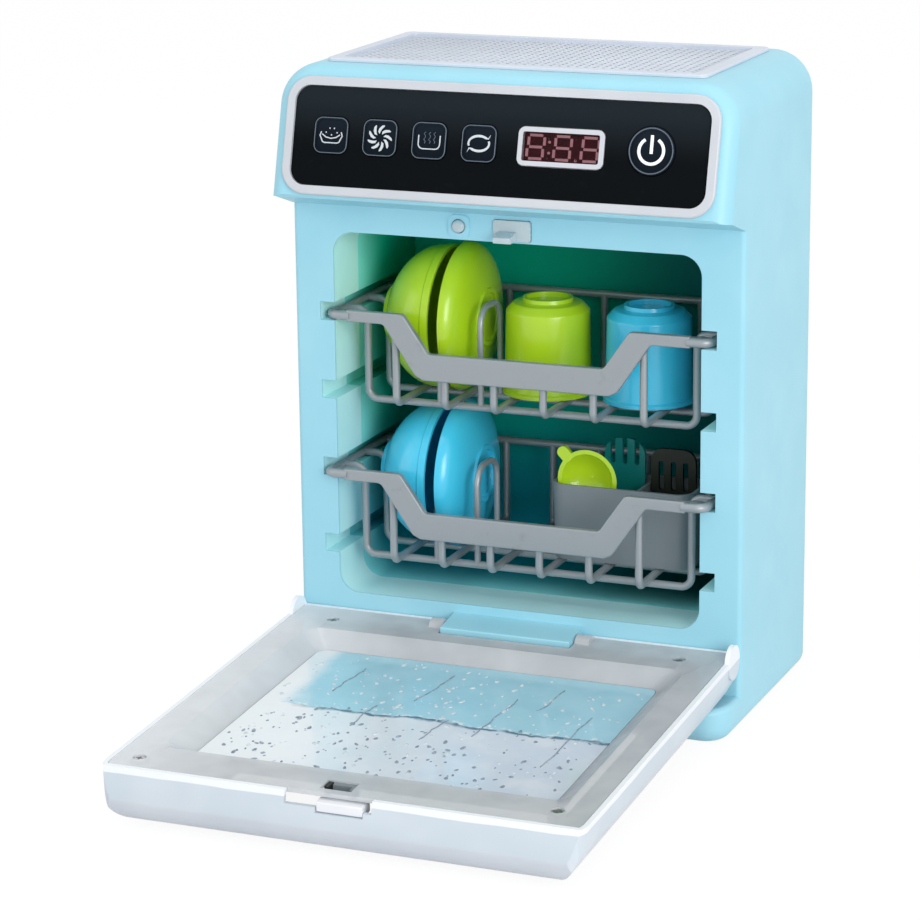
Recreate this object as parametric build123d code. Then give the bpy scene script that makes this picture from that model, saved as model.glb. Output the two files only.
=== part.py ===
from build123d import *
import os

os.makedirs("parts", exist_ok=True)

# Sizes in millimetres. X is to the right, the front looks along -Y and Z is up.
# While modelling, Y = 0 is the recessed front face of the cabinet.
# Every piece is moved at export, so that the origin is the middle of the footprint.

# Cabinet
CABINET_WIDTH = 220.0
CABINET_HEIGHT = 299.6
BACK_Y = 105.5
WALL = 2.5
TOP_CORNER_R = 19.0
BOTTOM_CORNER_R = 8.0
REAR_EDGE_R = 6.0
RECESS_EDGE_R = 2.6
LIP_FRONT_Y = -24.0
LIP_TOP_Z = 17.0
LIP_CORNER_R = 13.0
LIP_EDGE_R = 3.0
HEAD_FACE_R = 8.0
HEAD_CHIN_BEVEL = 1.2
HEAD_UNDER = [(0.0, 233.0), (-19.0, 239.2)]
ORIGIN_Y = (BACK_Y + LIP_FRONT_Y) / 2

# Leaning control panel: its origin is the middle of the glossy fascia
PANEL_LOW = (-25.4, 246.6)
PANEL_HIGH = (-13.9, 290.2)
FASCIA_HALF_WIDTH = 99.0
FASCIA_CORNER_R = 7.5
FASCIA_THICKNESS = 1.8
BEZEL_RIM = 4.4
BEZEL_PROUD = 1.3
HEAD_FACE_BACK = 0.6
HEAD_FLOOR_Z = 240.6
BUTTON_XS = [-80.4, -56.3, -32.3, -8.3]
BUTTON_NAMES = ["wash", "fan", "steam", "cycle"]
BUTTON_SIZE = 16.8
BUTTON_RISE = 0.4
BUTTON_PROUD = 0.7
BUTTON_CORNER_R = 4.2
POWER_X = 72.6
POWER_RISE = 1.3
POWER_R = 10.8
POWER_PROUD = 0.9
BUTTON_GAP = 0.35
DISPLAY_X = 30.4
DISPLAY_RISE = 0.5
DISPLAY_WIDTH = 40.6
DISPLAY_HEIGHT = 17.4
DISPLAY_RIM = 2.2

# Tub opening, return lip and rail grooves
OPENING_HALF_WIDTH = 89.8
OPENING_LOW_Z = 46.4
OPENING_HIGH_Z = 220.6
OPENING_CORNER_R = 10.0
GROOVE_HALF_WIDTH = 97.0
GROOVE_HEIGHT = 8.8
GROOVE_TOP_LOW_Z = 178.1
GROOVE_PITCH = 37.5
GROOVE_COUNT = 4
LIP_DEPTH = 28.0
TUB_WALL = 1.8
TUB_BACK_Y = 97.0
TUB_JOINT_GAP = 0.3

# Top tray
TRAY_HALF_WIDTH = 91.2
TRAY_FRONT_Y = -1.0
TRAY_BACK_Y = 95.5
TRAY_RIM_TOP_Z = 301.2
TRAY_RIM_WIDTH = 3.2
TRAY_DEPTH = 4.2

# Door: flat frame with the hinge axis at 0, 0 and the door lying along -Y
HINGE_Y = -8.5
HINGE_Z = 36.0
OPEN_SAG = 3.1
DOOR_HALF_WIDTH = 109.5
DOOR_RIM = 2.1
DOOR_NEAR_Y = 7.8
DOOR_FAR_RIM_Y = -197.6
DOOR_FAR_FOLD = (-201.9, -11.5)
DOOR_DEPTH_Z = -24.9
DOOR_WALL = 2.2
DOOR_CORNER_R = 12.0
EAR_R = 8.1
LINER_GAP = 0.3
LINER_THICKNESS = 1.8
WINDOW_HALF_WIDTH = 83.5
WINDOW_TOP_HALF_WIDTH = 93.5
WINDOW_NEAR_Y = -29.5
WINDOW_FAR_Y = -163.5
WINDOW_BEVEL_Y = 9.0
WINDOW_SINK = 7.0
WINDOW_LEDGE = 5.0
PANE_THICKNESS = 2.0
KNUCKLE_R = 5.0
KNUCKLE_LENGTH = 7.0
BLOCK_XS = (-31.0, 33.0)
BLOCK_GAP = 0.8
BLOCK_REACH_Y = -17.5
BLOCK_TOP_Z = 42.5
BLOCK_TIP_Z = 39.8
BLOCK_SWEEP_R = 11.0
PIN_R = 1.75
PIN_CLEARANCE = 0.05
LATCH_XS = (-8.0, 13.0)
LATCH_ZS = (-5.2, -0.8)
LATCH_FAR_Y = -199.3
LATCH_LENGTH = 8.0
LATCH_NOTCH_XS = (-22.7, 17.0)
LATCH_NOTCH_DEPTH = 5.4
FIT_GAP = 0.35
DOOR_SCREWS = [(-96.5, -185.5), (92.5, -182.0), (-86.0, -8.5), (86.0, -8.5)]
POST_TOP_Z = -6.2
POCKET_XS = (-9.5, 4.7)
POCKET_YS = (-191.5, -182.5)
RIB_XS = [-100.0, -72.0, -50.0, 50.0, 72.0, 100.0]
RIB_YS = [-60.0, -95.0, -130.0]
RIB_LOW_Z = -6.0

# Racks: heights are those of the upper rack
RACK_DROP = 2 * GROOVE_PITCH
LOWER_RACK_OUT = 6.0
WIRE_R = 1.8
RAIL_X = 93.0
RAIL_Z = 180.3
RACK_BACK_Y = 88.0
SIDE_WIRE_X = 81.5
CROSS_YS = [19.5, 44.5, 69.5]
CROSS_Z = 137.3
LONG_XS = [-61.0, -36.6, -12.2, 12.2, 36.6, 61.0]
LONG_Z = 139.4
LONG_FRONT_Y = 5.0
BEND_R = 6.0
TINE_R = 1.5
TINE_XS = [-44.9, -24.4]
TINE_TOP_Z = 184.0
BAND_THICKNESS = 3.0
BAND_END_X = 84.0
BAND_ROD_R = 2.2
BAND_OUTLINE = [(84.0, 183.4), (55.5, 183.4), (43.0, 165.4)]
BAND_UNDERSIDE = [(84.0, 178.0), (65.5, 178.0), (49.5, 154.6), (45.5, 152.7)]
BAND_ROD_Z = 180.7
RAIL_START_Y = 12.0
LONG_INNER_TOP = 160.0
LONG_OUTER_TOP = 179.0

# Dishes
DISH_MIDDLE_Y = 45.0
DISH_WALL = 1.7
CUP_R = 20.6
CUP_HEIGHT = 45.5
CUP_FOOT_R = 12.0
CUP_XS = (-0.4, 49.8)
CUP_FLOOR_Z = LONG_Z + WIRE_R + 0.3
PLATE_RIM_X = -42.2
PLATE_R = 35.5
PLATE_DEPTH = 12.5
BOWL_RIM_X = -48.0
BOWL_R = 34.5
BOWL_DEPTH = 31.0

# Cutlery box, at the lower rack's own height
BOX_XS = (8.0, 78.0)
BOX_YS = (28.0, 60.0)
BOX_TOP_Z = 103.0
BOX_WALL = 1.6
BOX_CORNER_R = 8.0
BOX_LOW_Z = CUP_FLOOR_Z - RACK_DROP
DIVIDER_X = 6.0
SPOON_R = 14.6
SPOON_DEPTH = 9.0
SPOON_TOP = (25.6, 42.0, 104.7)
FORK_TOP = (37.0, 53.5, 106.0)
LADLE_TOP = (61.5, 52.0, 105.0)

# Lintel pieces
SENSOR_X = -26.5
SENSOR_Z = 226.9
SENSOR_R = 3.0
KEEPER_XS = (-9.3, 8.6)
KEEPER_ZS = (221.6, 231.0)
KEEPER_SEAT = 1.3
HOOK_XS = (-6.5, 2.0)
HOOK_ZS = (221.8, 226.0)
HOOK_REACH_Y = -8.7

# Panel inner parts, as distances out of the panel plane
PLUG_WALL = 1.8
BOARD_OUT = 9.0
BOARD_POST_X = 95.4
SWITCH_TOP = -6.6
STEM_END = -4.7
DISPLAY_PROUD = 0.5
DIGIT_XS = [18.0, 30.7, 43.6]
DIGIT_WIDTH = 8.6
DIGIT_HEIGHT = 10.4
DIGIT_BAR = 1.15
DIGIT_SLANT = 0.1

# Covers, batteries, screws and electrics
COVER_LEDGE = 5.0
COVER_FLANGE = 2.2
BAY_XS = (-75.0, -22.0)
BAY_YS = (28.0, 75.6)
BAY_TOP_Z = 22.4
BAY_LID = 2.4
SPEAKER_XY = (50.0, 52.0)
SPEAKER_R = 14.0
SCREW_SUNK = 0.3
TRAY_RIBS = 14
TRAY_ROWS = 7
CELL_R = 7.15
CELL_LENGTH = 49.0
CELL_PITCH = 15.6
CELL_Z = 13.0
SCREW_R = 1.3
SCREW_HEAD_R = 2.7
SCREW_HEAD = 1.6
SCREW_LENGTH = 8.0
SCREW_CLEARANCE = 0.1
REAR_SCREWS = [(x, z) for x in (-98.55, 98.55) for z in (24.0, 160.0, 272.0)]
BASE_SCREWS = [(x, y) for x in (-94.55, 94.55) for y in (8.0, 80.0)]


def side_solid(points, low_x, high_x):
    """Solid from an outline of (y, z) points, between two X values."""
    plane = Plane(origin=(low_x, 0, 0), x_dir=(0, 1, 0), z_dir=(1, 0, 0))
    face = make_face(Polyline(*points, close=True))
    return extrude(plane * face, amount=high_x - low_x)


def front_solid(face, low_y, high_y):
    """Solid from a front-view face of (x, z) shapes, between two Y values."""
    plane = Plane(origin=(0, low_y, 0), x_dir=(1, 0, 0), z_dir=(0, -1, 0))
    return extrude(plane * face, amount=low_y - high_y)


def span_box(xs, ys, zs):
    """Box between pairs of X, Y and Z values."""
    size = Box(xs[1] - xs[0], ys[1] - ys[0], zs[1] - zs[0])
    return Pos(sum(xs) / 2, sum(ys) / 2, sum(zs) / 2) * size


def rod(start, end, radius):
    """Round bar from one point to another."""
    along = Vector(*end) - Vector(*start)
    bar = Pos(0, 0, along.length / 2) * Cylinder(radius, along.length)
    return Plane(origin=start, z_dir=along) * bar


def bent_rod(points, radius, bend):
    """Round wire along a polyline whose corners are bent."""
    path = FilletPolyline(*points, radius=bend)
    return sweep(Plane(origin=path @ 0, z_dir=path % 0) * Circle(radius), path=path)


def panel_plane():
    """Plane of the leaning fascia: X to the right, local Y up the slope, normal out."""
    mid = [(a + b) / 2 for a, b in zip(PANEL_LOW, PANEL_HIGH)]
    rise = Vector(0, PANEL_HIGH[0] - PANEL_LOW[0], PANEL_HIGH[1] - PANEL_LOW[1])
    normal = Vector(1, 0, 0).cross(rise)
    return Plane(origin=(0, mid[0], mid[1]), x_dir=(1, 0, 0), z_dir=normal)


PANEL = panel_plane()
PANEL_HEIGHT = Vector(0, PANEL_HIGH[0] - PANEL_LOW[0], PANEL_HIGH[1] - PANEL_LOW[1]).length


def panel_solid(sketch, low, high):
    """Solid on the panel plane, between two distances out of it."""
    return extrude(PANEL.offset(low) * sketch, amount=high - low)


def outer_face(shape):
    """Face of a panel piece that lies furthest out of the panel plane."""
    return shape.faces().sort_by(Axis((0, 0, 0), tuple(PANEL.z_dir)))[-1]


def cabinet_main(inset):
    """Body behind the recessed face, with rounded top, bottom and rear edges."""
    half = CABINET_WIDTH / 2 - inset
    low, high = inset, CABINET_HEIGHT - inset
    outline = Pos(0, (low + high) / 2) * Rectangle(2 * half, high - low)
    corners = outline.vertices().sort_by(Axis.Y)
    outline = fillet(corners[2:], TOP_CORNER_R - inset)
    corners = outline.vertices().sort_by(Axis.Y)
    outline = fillet(corners[:2], BOTTOM_CORNER_R - inset)
    body = front_solid(outline, inset, BACK_Y - inset)
    rear = body.faces().sort_by(Axis.Y)[-1].edges()
    body = fillet(rear, REAR_EDGE_R - inset)
    if inset:
        return body
    return fillet(body.faces().sort_by(Axis.Y)[0].edges(), RECESS_EDGE_R)


def cabinet_head(inset):
    """Overhanging head, with its leaning face and rounded face edges."""
    half = CABINET_WIDTH / 2 - inset
    lean = (PANEL_HIGH[0] - PANEL_LOW[0]) / (PANEL_HIGH[1] - PANEL_LOW[1])
    back = HEAD_FACE_BACK + inset * (1 + lean**2) ** 0.5
    top = CABINET_HEIGHT - inset
    floor = HEAD_FLOOR_Z + inset
    face_low = (PANEL_LOW[0] + back + lean * (floor - PANEL_LOW[1]), floor)
    face_high = (PANEL_LOW[0] + back + lean * (top - PANEL_LOW[1]), top)
    under = [(y, z + inset) for y, z in HEAD_UNDER]
    start = (20.0, HEAD_UNDER[0][1] + inset)
    points = [start, *under, face_low, face_high, (20.0, top)]
    slab = side_solid(points, -half, half)
    if not inset:
        slab = chamfer(outer_face(slab).edges().sort_by(Axis.Z)[0], HEAD_CHIN_BEVEL)
    outline = Pos(0, top / 2) * Rectangle(2 * half, top)
    outline = fillet(outline.vertices().sort_by(Axis.Y)[2:], TOP_CORNER_R - inset)
    head = slab & front_solid(outline, -60, 60)
    chin = outer_face(head).edges().sort_by(Axis.Z)[0].center().Z + 1
    rest = [edge for edge in outer_face(head).edges() if edge.center().Z > chin]
    return fillet(rest, HEAD_FACE_R - inset)


def cabinet_lip(inset):
    """Foot lip below the door."""
    half = CABINET_WIDTH / 2 - inset
    front = LIP_FRONT_Y + inset
    lip = span_box((-half, half), (front, 20.0), (inset, LIP_TOP_Z - inset))
    corners = lip.edges().filter_by(Axis.Z).sort_by(Axis.Y)[:2]
    lip = fillet(corners, LIP_CORNER_R - inset)
    low = [e for e in lip.faces().sort_by(Axis.Z)[0].edges() if e.center().Y < 19.9]
    lip = fillet(low, BOTTOM_CORNER_R - inset)
    if inset:
        return lip
    high = [e for e in lip.faces().sort_by(Axis.Z)[-1].edges() if e.center().Y < 19.9]
    return fillet(high, LIP_EDGE_R)


def cabinet_body(inset):
    """Whole cabinet form, moved in by an even distance."""
    return cabinet_main(inset) + cabinet_head(inset) + cabinet_lip(inset)


def tub_outline(grow):
    """Front view of the tub's inside with its rail grooves, grown by a wall."""
    middle = (OPENING_LOW_Z + OPENING_HIGH_Z) / 2
    height = OPENING_HIGH_Z - OPENING_LOW_Z + 2 * grow
    width = 2 * (OPENING_HALF_WIDTH + grow)
    outline = Pos(0, middle) * RectangleRounded(width, height, OPENING_CORNER_R + grow)
    for step in range(GROOVE_COUNT):
        low = GROOVE_TOP_LOW_Z - step * GROOVE_PITCH - grow
        high = low + GROOVE_HEIGHT + 2 * grow
        reach = GROOVE_HALF_WIDTH + grow
        outline += Pos(0, (low + high) / 2) * Rectangle(2 * reach, high - low)
    return outline


def cabinet_openings():
    """All that is cut from the cabinet's walls."""
    cuts = front_solid(tub_outline(0), -5, LIP_DEPTH + 5)
    panel = RectangleRounded(*panel_size(PLUG_WALL + FIT_GAP), FASCIA_CORNER_R)
    cuts += panel_solid(panel, -12, 5)
    tray_mid = (TRAY_FRONT_Y + TRAY_BACK_Y) / 2
    tray_size = (2 * TRAY_HALF_WIDTH - 8, TRAY_BACK_Y - TRAY_FRONT_Y - 8)
    cuts += Pos(0, tray_mid, CABINET_HEIGHT) * Box(*tray_size, 12)
    for grow, depth in ((0, 6), (COVER_LEDGE, COVER_FLANGE)):
        cuts += front_solid(rear_face(grow), BACK_Y - depth, BACK_Y + 1)
        cuts += Pos(0, 0, -1) * extrude(base_face(grow), amount=depth + 1)
    sensor = Pos(SENSOR_X, SENSOR_Z) * Circle(SENSOR_R + FIT_GAP)
    cuts += front_solid(sensor, -3, 5)
    keeper = Pos(sum(KEEPER_XS) / 2, sum(KEEPER_ZS) / 2)
    size = (KEEPER_XS[1] - KEEPER_XS[0] + 0.6, KEEPER_ZS[1] - KEEPER_ZS[0] + 0.6)
    cuts += front_solid(keeper * RectangleRounded(*size, 1.2), -3, KEEPER_SEAT)
    return cuts


def rear_face(grow):
    """Front view of the rear opening, grown for its ledge."""
    return Pos(0, 148) * RectangleRounded(194 + 2 * grow, 262 + 2 * grow, 6)


def base_face(grow):
    """Plan of the base opening, grown for its ledge."""
    return Pos(0, 44) * RectangleRounded(186 + 2 * grow, 98 + 2 * grow, 6)


def panel_size(grow):
    """Width and height of the fascia, grown all round."""
    return 2 * (FASCIA_HALF_WIDTH + grow), PANEL_HEIGHT + 2 * grow


def hinge_block():
    """Block on the recessed face that carries the hinge pin, with its sloping top."""
    low, high = BLOCK_XS
    points = [(1.5, BLOCK_TOP_Z), (BLOCK_REACH_Y, BLOCK_TIP_Z), (BLOCK_REACH_Y, 36.8)]
    points += [(-12.5, 30.6), (-4.0, 29.4), (1.5, 29.4)]
    block = side_solid(points, low, high)
    return fillet(block.edges().filter_by(Axis.X).sort_by(Axis.Y)[:2], 0.8)


def pin_hole(low, high):
    """Running fit of the hinge pin."""
    bore = Cylinder(PIN_R + PIN_CLEARANCE, high - low + 2)
    return Pos((low + high) / 2, HINGE_Y, HINGE_Z) * Rot(0, 90, 0) * bore


def cabinet_shell():
    """Outer moulding with the opening, its return lip and the hinge block."""
    shell = cabinet_body(0) - cabinet_body(WALL)
    shell += front_solid(tub_outline(TUB_WALL), 0.5, LIP_DEPTH)
    shell += front_solid(rear_face(COVER_LEDGE + 2), BACK_Y - 5, BACK_Y - 1)
    shell += extrude(base_face(COVER_LEDGE + 2), amount=5)
    for x, z in REAR_SCREWS:
        shell += Pos(x, BACK_Y - 11, z) * Rot(90, 0, 0) * Cylinder(3.4, 16)
    for x, y in BASE_SCREWS:
        shell += Pos(x, y, 8) * Cylinder(3.4, 12)
    ring_plate = Pos(SENSOR_X, SENSOR_Z) * RectangleRounded(10.4, 10.4, 3)
    shell += front_solid(ring_plate, -0.7, 1)
    shell -= cabinet_openings()
    for x, z in REAR_SCREWS:
        shell -= Pos(x, BACK_Y - 10, z) * Rot(90, 0, 0) * Cylinder(SCREW_R + SCREW_CLEARANCE, 24)
    for x, y in BASE_SCREWS:
        shell -= Pos(x, y, 8) * Cylinder(SCREW_R + SCREW_CLEARANCE, 20)
    shell += hinge_block()
    return shell - pin_hole(*BLOCK_XS)


def tub_liner():
    """Inner tub behind the return lip, with a collar around the lip."""
    front = LIP_DEPTH + TUB_JOINT_GAP
    tub = front_solid(tub_outline(TUB_WALL), front, TUB_BACK_Y + TUB_WALL)
    flange = TUB_WALL + TUB_JOINT_GAP + 1.6
    collar = front_solid(tub_outline(flange), front - 8, front + TUB_WALL)
    collar -= front_solid(tub_outline(TUB_WALL + TUB_JOINT_GAP), front - 9, front)
    tub += collar
    return tub - front_solid(tub_outline(0), front - 1, TUB_BACK_Y)


def rear_cover():
    """Rear cover with its sunk screw seats and vent slots."""
    core = front_solid(rear_face(-FIT_GAP), BACK_Y - 4.5, BACK_Y - 1)
    cover = core + front_solid(rear_face(COVER_LEDGE - FIT_GAP), BACK_Y - COVER_FLANGE + 0.1, BACK_Y)
    cover -= front_solid(rear_face(-6), BACK_Y - 6, BACK_Y - 2.2)
    for row in range(6):
        slot = Pos(0, 228 + row * 6) * SlotOverall(90, 2.4)
        cover -= front_solid(slot, BACK_Y - 6, BACK_Y + 1)
    for x, z in REAR_SCREWS:
        seat = Cylinder(SCREW_HEAD_R + 0.2, 2 * SCREW_SUNK + 2 * SCREW_HEAD)
        bore = Cylinder(SCREW_R + SCREW_CLEARANCE, 20)
        cover -= Pos(x, BACK_Y, z) * Rot(90, 0, 0) * (seat + bore)
    return cover


def base_plate():
    """Base plate with the battery bay, speaker seat and sunk screw seats."""
    plate = extrude(base_face(COVER_LEDGE - FIT_GAP), amount=COVER_FLANGE - 0.1)
    plate += Pos(0, 0, 1) * extrude(base_face(-FIT_GAP), amount=3)
    plate -= Pos(0, 0, COVER_FLANGE) * extrude(base_face(-6), amount=8)
    bay_mid = (sum(BAY_XS) / 2, sum(BAY_YS) / 2)
    bay_size = (BAY_XS[1] - BAY_XS[0], BAY_YS[1] - BAY_YS[0])
    walls = Box(bay_size[0] + 3.2, bay_size[1] + 3.2, BAY_TOP_Z)
    plate += Pos(*bay_mid, BAY_TOP_Z / 2) * walls
    plate += Pos(bay_mid[0], bay_mid[1] + 4, 2.2) * Box(bay_size[0] + 12, bay_size[1] + 20, 4.4)
    plate -= Pos(*bay_mid, BAY_TOP_Z / 2 - 1.6) * Box(*bay_size, BAY_TOP_Z)
    plate -= Pos(*bay_mid, 0) * Box(bay_size[0] + 6, bay_size[1] + 6, 2 * BAY_LID)
    lug = Pos(bay_mid[0], BAY_YS[1] + 6.5, BAY_LID + 4) * Cylinder(3.4, 8)
    lug -= Pos(bay_mid[0], BAY_YS[1] + 6.5, BAY_LID + 4) * Cylinder(SCREW_R + SCREW_CLEARANCE, 12)
    pocket = Pos(bay_mid[0], BAY_YS[1] + 6.5, 0) * Cylinder(6 + FIT_GAP, 2 * BAY_LID)
    plate = plate - pocket + lug
    plate -= Pos(bay_mid[0], BAY_YS[1] + 6.5, 2) * Cylinder(SCREW_R + SCREW_CLEARANCE, 8)
    seat = Cylinder(SPEAKER_R + 2.2, 6) - Cylinder(SPEAKER_R + FIT_GAP, 8)
    plate += Pos(*SPEAKER_XY, 4) * seat
    for ring_r, count in ((4.0, 6), (8.5, 12)):
        plate -= Pos(*SPEAKER_XY, 1) * PolarLocations(ring_r, count) * Cylinder(1.1, 6)
    for x, y in BASE_SCREWS:
        head = Cylinder(SCREW_HEAD_R + 0.2, 2 * SCREW_SUNK + 2 * SCREW_HEAD)
        plate -= Pos(x, y, 0) * (head + Cylinder(SCREW_R + SCREW_CLEARANCE, 20))
    return plate


def battery_cover():
    """Lid of the battery bay, flush with the base, with its screw tab."""
    mid = (sum(BAY_XS) / 2, sum(BAY_YS) / 2)
    size = (BAY_XS[1] - BAY_XS[0] + 6, BAY_YS[1] - BAY_YS[0] + 6)
    thick = BAY_LID - 0.15
    lid = Pos(*mid, thick / 2) * Box(size[0] - 2 * FIT_GAP, size[1] - 2 * FIT_GAP, thick)
    tab = Pos(mid[0], BAY_YS[1] + 6.5, thick / 2)
    lid += tab * Cylinder(6, thick)
    lid -= Pos(mid[0], BAY_YS[1] + 6.5, 0) * Cylinder(SCREW_R + SCREW_CLEARANCE, 20)
    lid -= Pos(mid[0], BAY_YS[1] + 6.5, 0) * Cylinder(SCREW_HEAD_R + 0.2, 3.5)
    for step in range(5):
        lid -= Pos(mid[0], BAY_YS[0] + 8 + 4 * step, 0) * Box(18, 1.2, 1.0)
    return lid


def screw(x, y, z, tilt, length=SCREW_LENGTH):
    """Pan-head screw with a cross slot; its head faces +Z before the tilt."""
    body = Pos(0, 0, SCREW_HEAD / 2) * Cylinder(SCREW_HEAD_R, SCREW_HEAD)
    body = fillet(body.edges().sort_by(Axis.Z)[-1], 0.6)
    for turn in (0, 90):
        body -= Pos(0, 0, SCREW_HEAD) * Rot(0, 0, turn) * Box(3.2, 0.7, 1.4)
    body += Pos(0, 0, -length / 2) * Cylinder(SCREW_R, length)
    return Pos(x, y, z) * tilt * body


def case_screws():
    """Rear and base screws."""
    depth = SCREW_SUNK + SCREW_HEAD
    parts = [screw(x, BACK_Y - depth, z, Rot(-90, 0, 0)) for x, z in REAR_SCREWS]
    parts += [screw(x, y, depth, Rot(180, 0, 0)) for x, y in BASE_SCREWS]
    return Compound(parts)


def battery_screw():
    """Screw of the battery cover."""
    x, y = sum(BAY_XS) / 2, BAY_YS[1] + 6.5
    return screw(x, y, 1.72, Rot(180, 0, 0), length=7)


def batteries():
    """Three AA cells side by side."""
    cells = []
    for step in (-1, 0, 1):
        cell = Cylinder(CELL_R, CELL_LENGTH)
        cell = fillet(cell.edges(), 0.8)
        cell += Pos(0, 0, CELL_LENGTH / 2 + 0.6) * Cylinder(2.6, 1.2)
        turn = Rot(0, 90 if step else -90, 0)
        y = sum(BAY_YS) / 2 + step * CELL_PITCH
        cells.append(Pos(sum(BAY_XS) / 2, y, CELL_Z) * turn * cell)
    return Compound(cells)


def battery_contacts():
    """Spring plates at both ends of the bay."""
    parts = []
    for side, x in ((1, BAY_XS[0]), (-1, BAY_XS[1])):
        for step in (-1, 0, 1):
            y = sum(BAY_YS) / 2 + step * CELL_PITCH
            plate = Pos(x + side * 0.45, y, CELL_Z) * Box(0.5, 11, 11)
            if (step == 0) == (side == -1):
                cone = Cone(4.0, 3.0, 1.2) - Cone(3.2, 2.2, 1.4)
                plate += Pos(x + side * 1.25, y, CELL_Z) * Rot(0, side * 90, 0) * cone
            parts.append(plate)
    return Compound(parts)


def speaker():
    """Small loudspeaker behind the grille of the base."""
    body = Cylinder(SPEAKER_R, 2.4) + Pos(0, 0, 3.4) * Cylinder(SPEAKER_R * 0.55, 6)
    body -= Pos(0, 0, -1.4) * Cone(SPEAKER_R * 0.5, SPEAKER_R * 0.85, 1.6)
    return Pos(*SPEAKER_XY, 4.6) * body


def top_tray():
    """White tray in the top, with a raised rim and a fine grid in its floor."""
    mid = (TRAY_FRONT_Y + TRAY_BACK_Y) / 2
    size = (2 * TRAY_HALF_WIDTH, TRAY_BACK_Y - TRAY_FRONT_Y)
    rim_low = CABINET_HEIGHT + 0.1
    rim = extrude(RectangleRounded(*size, 4), amount=TRAY_RIM_TOP_Z - rim_low)
    rim = fillet(rim.edges().group_by(Axis.Z)[-1], 0.8)
    pan_size = (size[0] - 8 - 2 * FIT_GAP, size[1] - 8 - 2 * FIT_GAP)
    floor_z = TRAY_RIM_TOP_Z - TRAY_DEPTH
    pan = Pos(0, 0, floor_z - 1.6 - rim_low) * extrude(Rectangle(*pan_size), amount=5)
    inner = (size[0] - 2 * TRAY_RIM_WIDTH - 6, size[1] - 2 * TRAY_RIM_WIDTH - 6)
    tray = rim + pan
    hollow = extrude(RectangleRounded(*inner, 2), amount=10)
    tray -= Pos(0, 0, floor_z - rim_low) * hollow
    rib_z = floor_z - rim_low + 0.5
    grid = Sketch()
    for step in range(1, TRAY_RIBS):
        x = -inner[0] / 2 + step * inner[0] / TRAY_RIBS
        grid += Pos(x, 0) * Rectangle(1.4, inner[1] + 1)
    for step in range(1, TRAY_ROWS):
        y = -inner[1] / 2 + step * inner[1] / TRAY_ROWS
        grid += Pos(0, y) * Rectangle(inner[0] + 1, 1.4)
    tray += extrude(Pos(0, 0, rib_z - 0.6) * grid, amount=1.2)
    return Pos(0, mid, rim_low) * tray


def panel_bezel():
    """White rim around the fascia, with the ledge behind it and the board posts."""
    rim = RectangleRounded(*panel_size(BEZEL_RIM), FASCIA_CORNER_R + BEZEL_RIM)
    plug = RectangleRounded(*panel_size(PLUG_WALL), FASCIA_CORNER_R)
    seat = RectangleRounded(*panel_size(0.25), FASCIA_CORNER_R)
    hole = RectangleRounded(*panel_size(-6.5), 3)
    front = panel_solid(rim, -HEAD_FACE_BACK + 0.1, BEZEL_PROUD)
    front = fillet(outer_face(front).edges(), 0.9)
    bezel = front + panel_solid(plug, -4.2, 0)
    bezel -= panel_solid(seat, -FASCIA_THICKNESS - 0.2, 5)
    bezel -= panel_solid(hole, -8, 0)
    for x in (-BOARD_POST_X, BOARD_POST_X):
        post = panel_solid(Pos(x, 0) * Circle(2.6), -BOARD_OUT, -3.0)
        bezel += post - panel_solid(Pos(x, 0) * Circle(SCREW_R + SCREW_CLEARANCE), -10, -4.4)
    return bezel


def button_face(x, grow):
    """Square button outline on the panel plane."""
    size = BUTTON_SIZE + 2 * grow
    return Pos(x, BUTTON_RISE) * RectangleRounded(size, size, BUTTON_CORNER_R + grow)


def display_face(grow):
    """Display outline on the panel plane."""
    size = (DISPLAY_WIDTH + 2 * grow, DISPLAY_HEIGHT + 2 * grow)
    return Pos(DISPLAY_X, DISPLAY_RISE) * RectangleRounded(*size, 3.2 + grow)


def panel_fascia():
    """Glossy black plate with holes for the buttons and the display."""
    plate = panel_solid(RectangleRounded(*panel_size(0), FASCIA_CORNER_R), -FASCIA_THICKNESS, 0)
    for x in BUTTON_XS:
        plate -= panel_solid(button_face(x, BUTTON_GAP), -5, 5)
    plate -= panel_solid(Pos(POWER_X, POWER_RISE) * Circle(POWER_R + BUTTON_GAP), -5, 5)
    return plate - panel_solid(display_face(BUTTON_GAP), -5, 5)


def program_button(x):
    """Square button with a raised frame, a retaining flange and a stem."""
    cap = panel_solid(button_face(x, 0), -3.4, BUTTON_PROUD)
    cap = fillet(outer_face(cap).edges(), 0.5)
    cap -= panel_solid(button_face(x, -1.4), BUTTON_PROUD - 0.4, 3)
    cap += panel_solid(button_face(x, 1.3), -3.4, -2.2)
    return cap + panel_solid(Pos(x, BUTTON_RISE) * Circle(2.0), STEM_END, -3)


def power_button():
    """Round button with a raised ring."""
    place = Pos(POWER_X, POWER_RISE)
    cap = panel_solid(place * Circle(POWER_R), -3.4, POWER_PROUD)
    cap = fillet(outer_face(cap).edges(), 0.6)
    cap -= panel_solid(place * Circle(POWER_R - 1.7), POWER_PROUD - 0.4, 3)
    cap += panel_solid(place * Circle(POWER_R + 1.3), -3.4, -2.2)
    return cap + panel_solid(place * Circle(2.4), STEM_END, -3)


def display_frame():
    """White frame around the display window."""
    frame = panel_solid(display_face(0), -3.0, DISPLAY_PROUD)
    frame = fillet(outer_face(frame).edges(), 0.4)
    frame += panel_solid(display_face(1.4), -3.0, -2.0)
    return frame - panel_solid(display_face(-DISPLAY_RIM), -5, 5)


def display_window():
    """Clear dark window in the frame."""
    return panel_solid(display_face(-DISPLAY_RIM - 0.1), -0.9, 0.1)


def display_module():
    """Block behind the window that carries the digits."""
    return panel_solid(display_face(-DISPLAY_RIM - 0.4), -BOARD_OUT + 0.05, -1.9)


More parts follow.
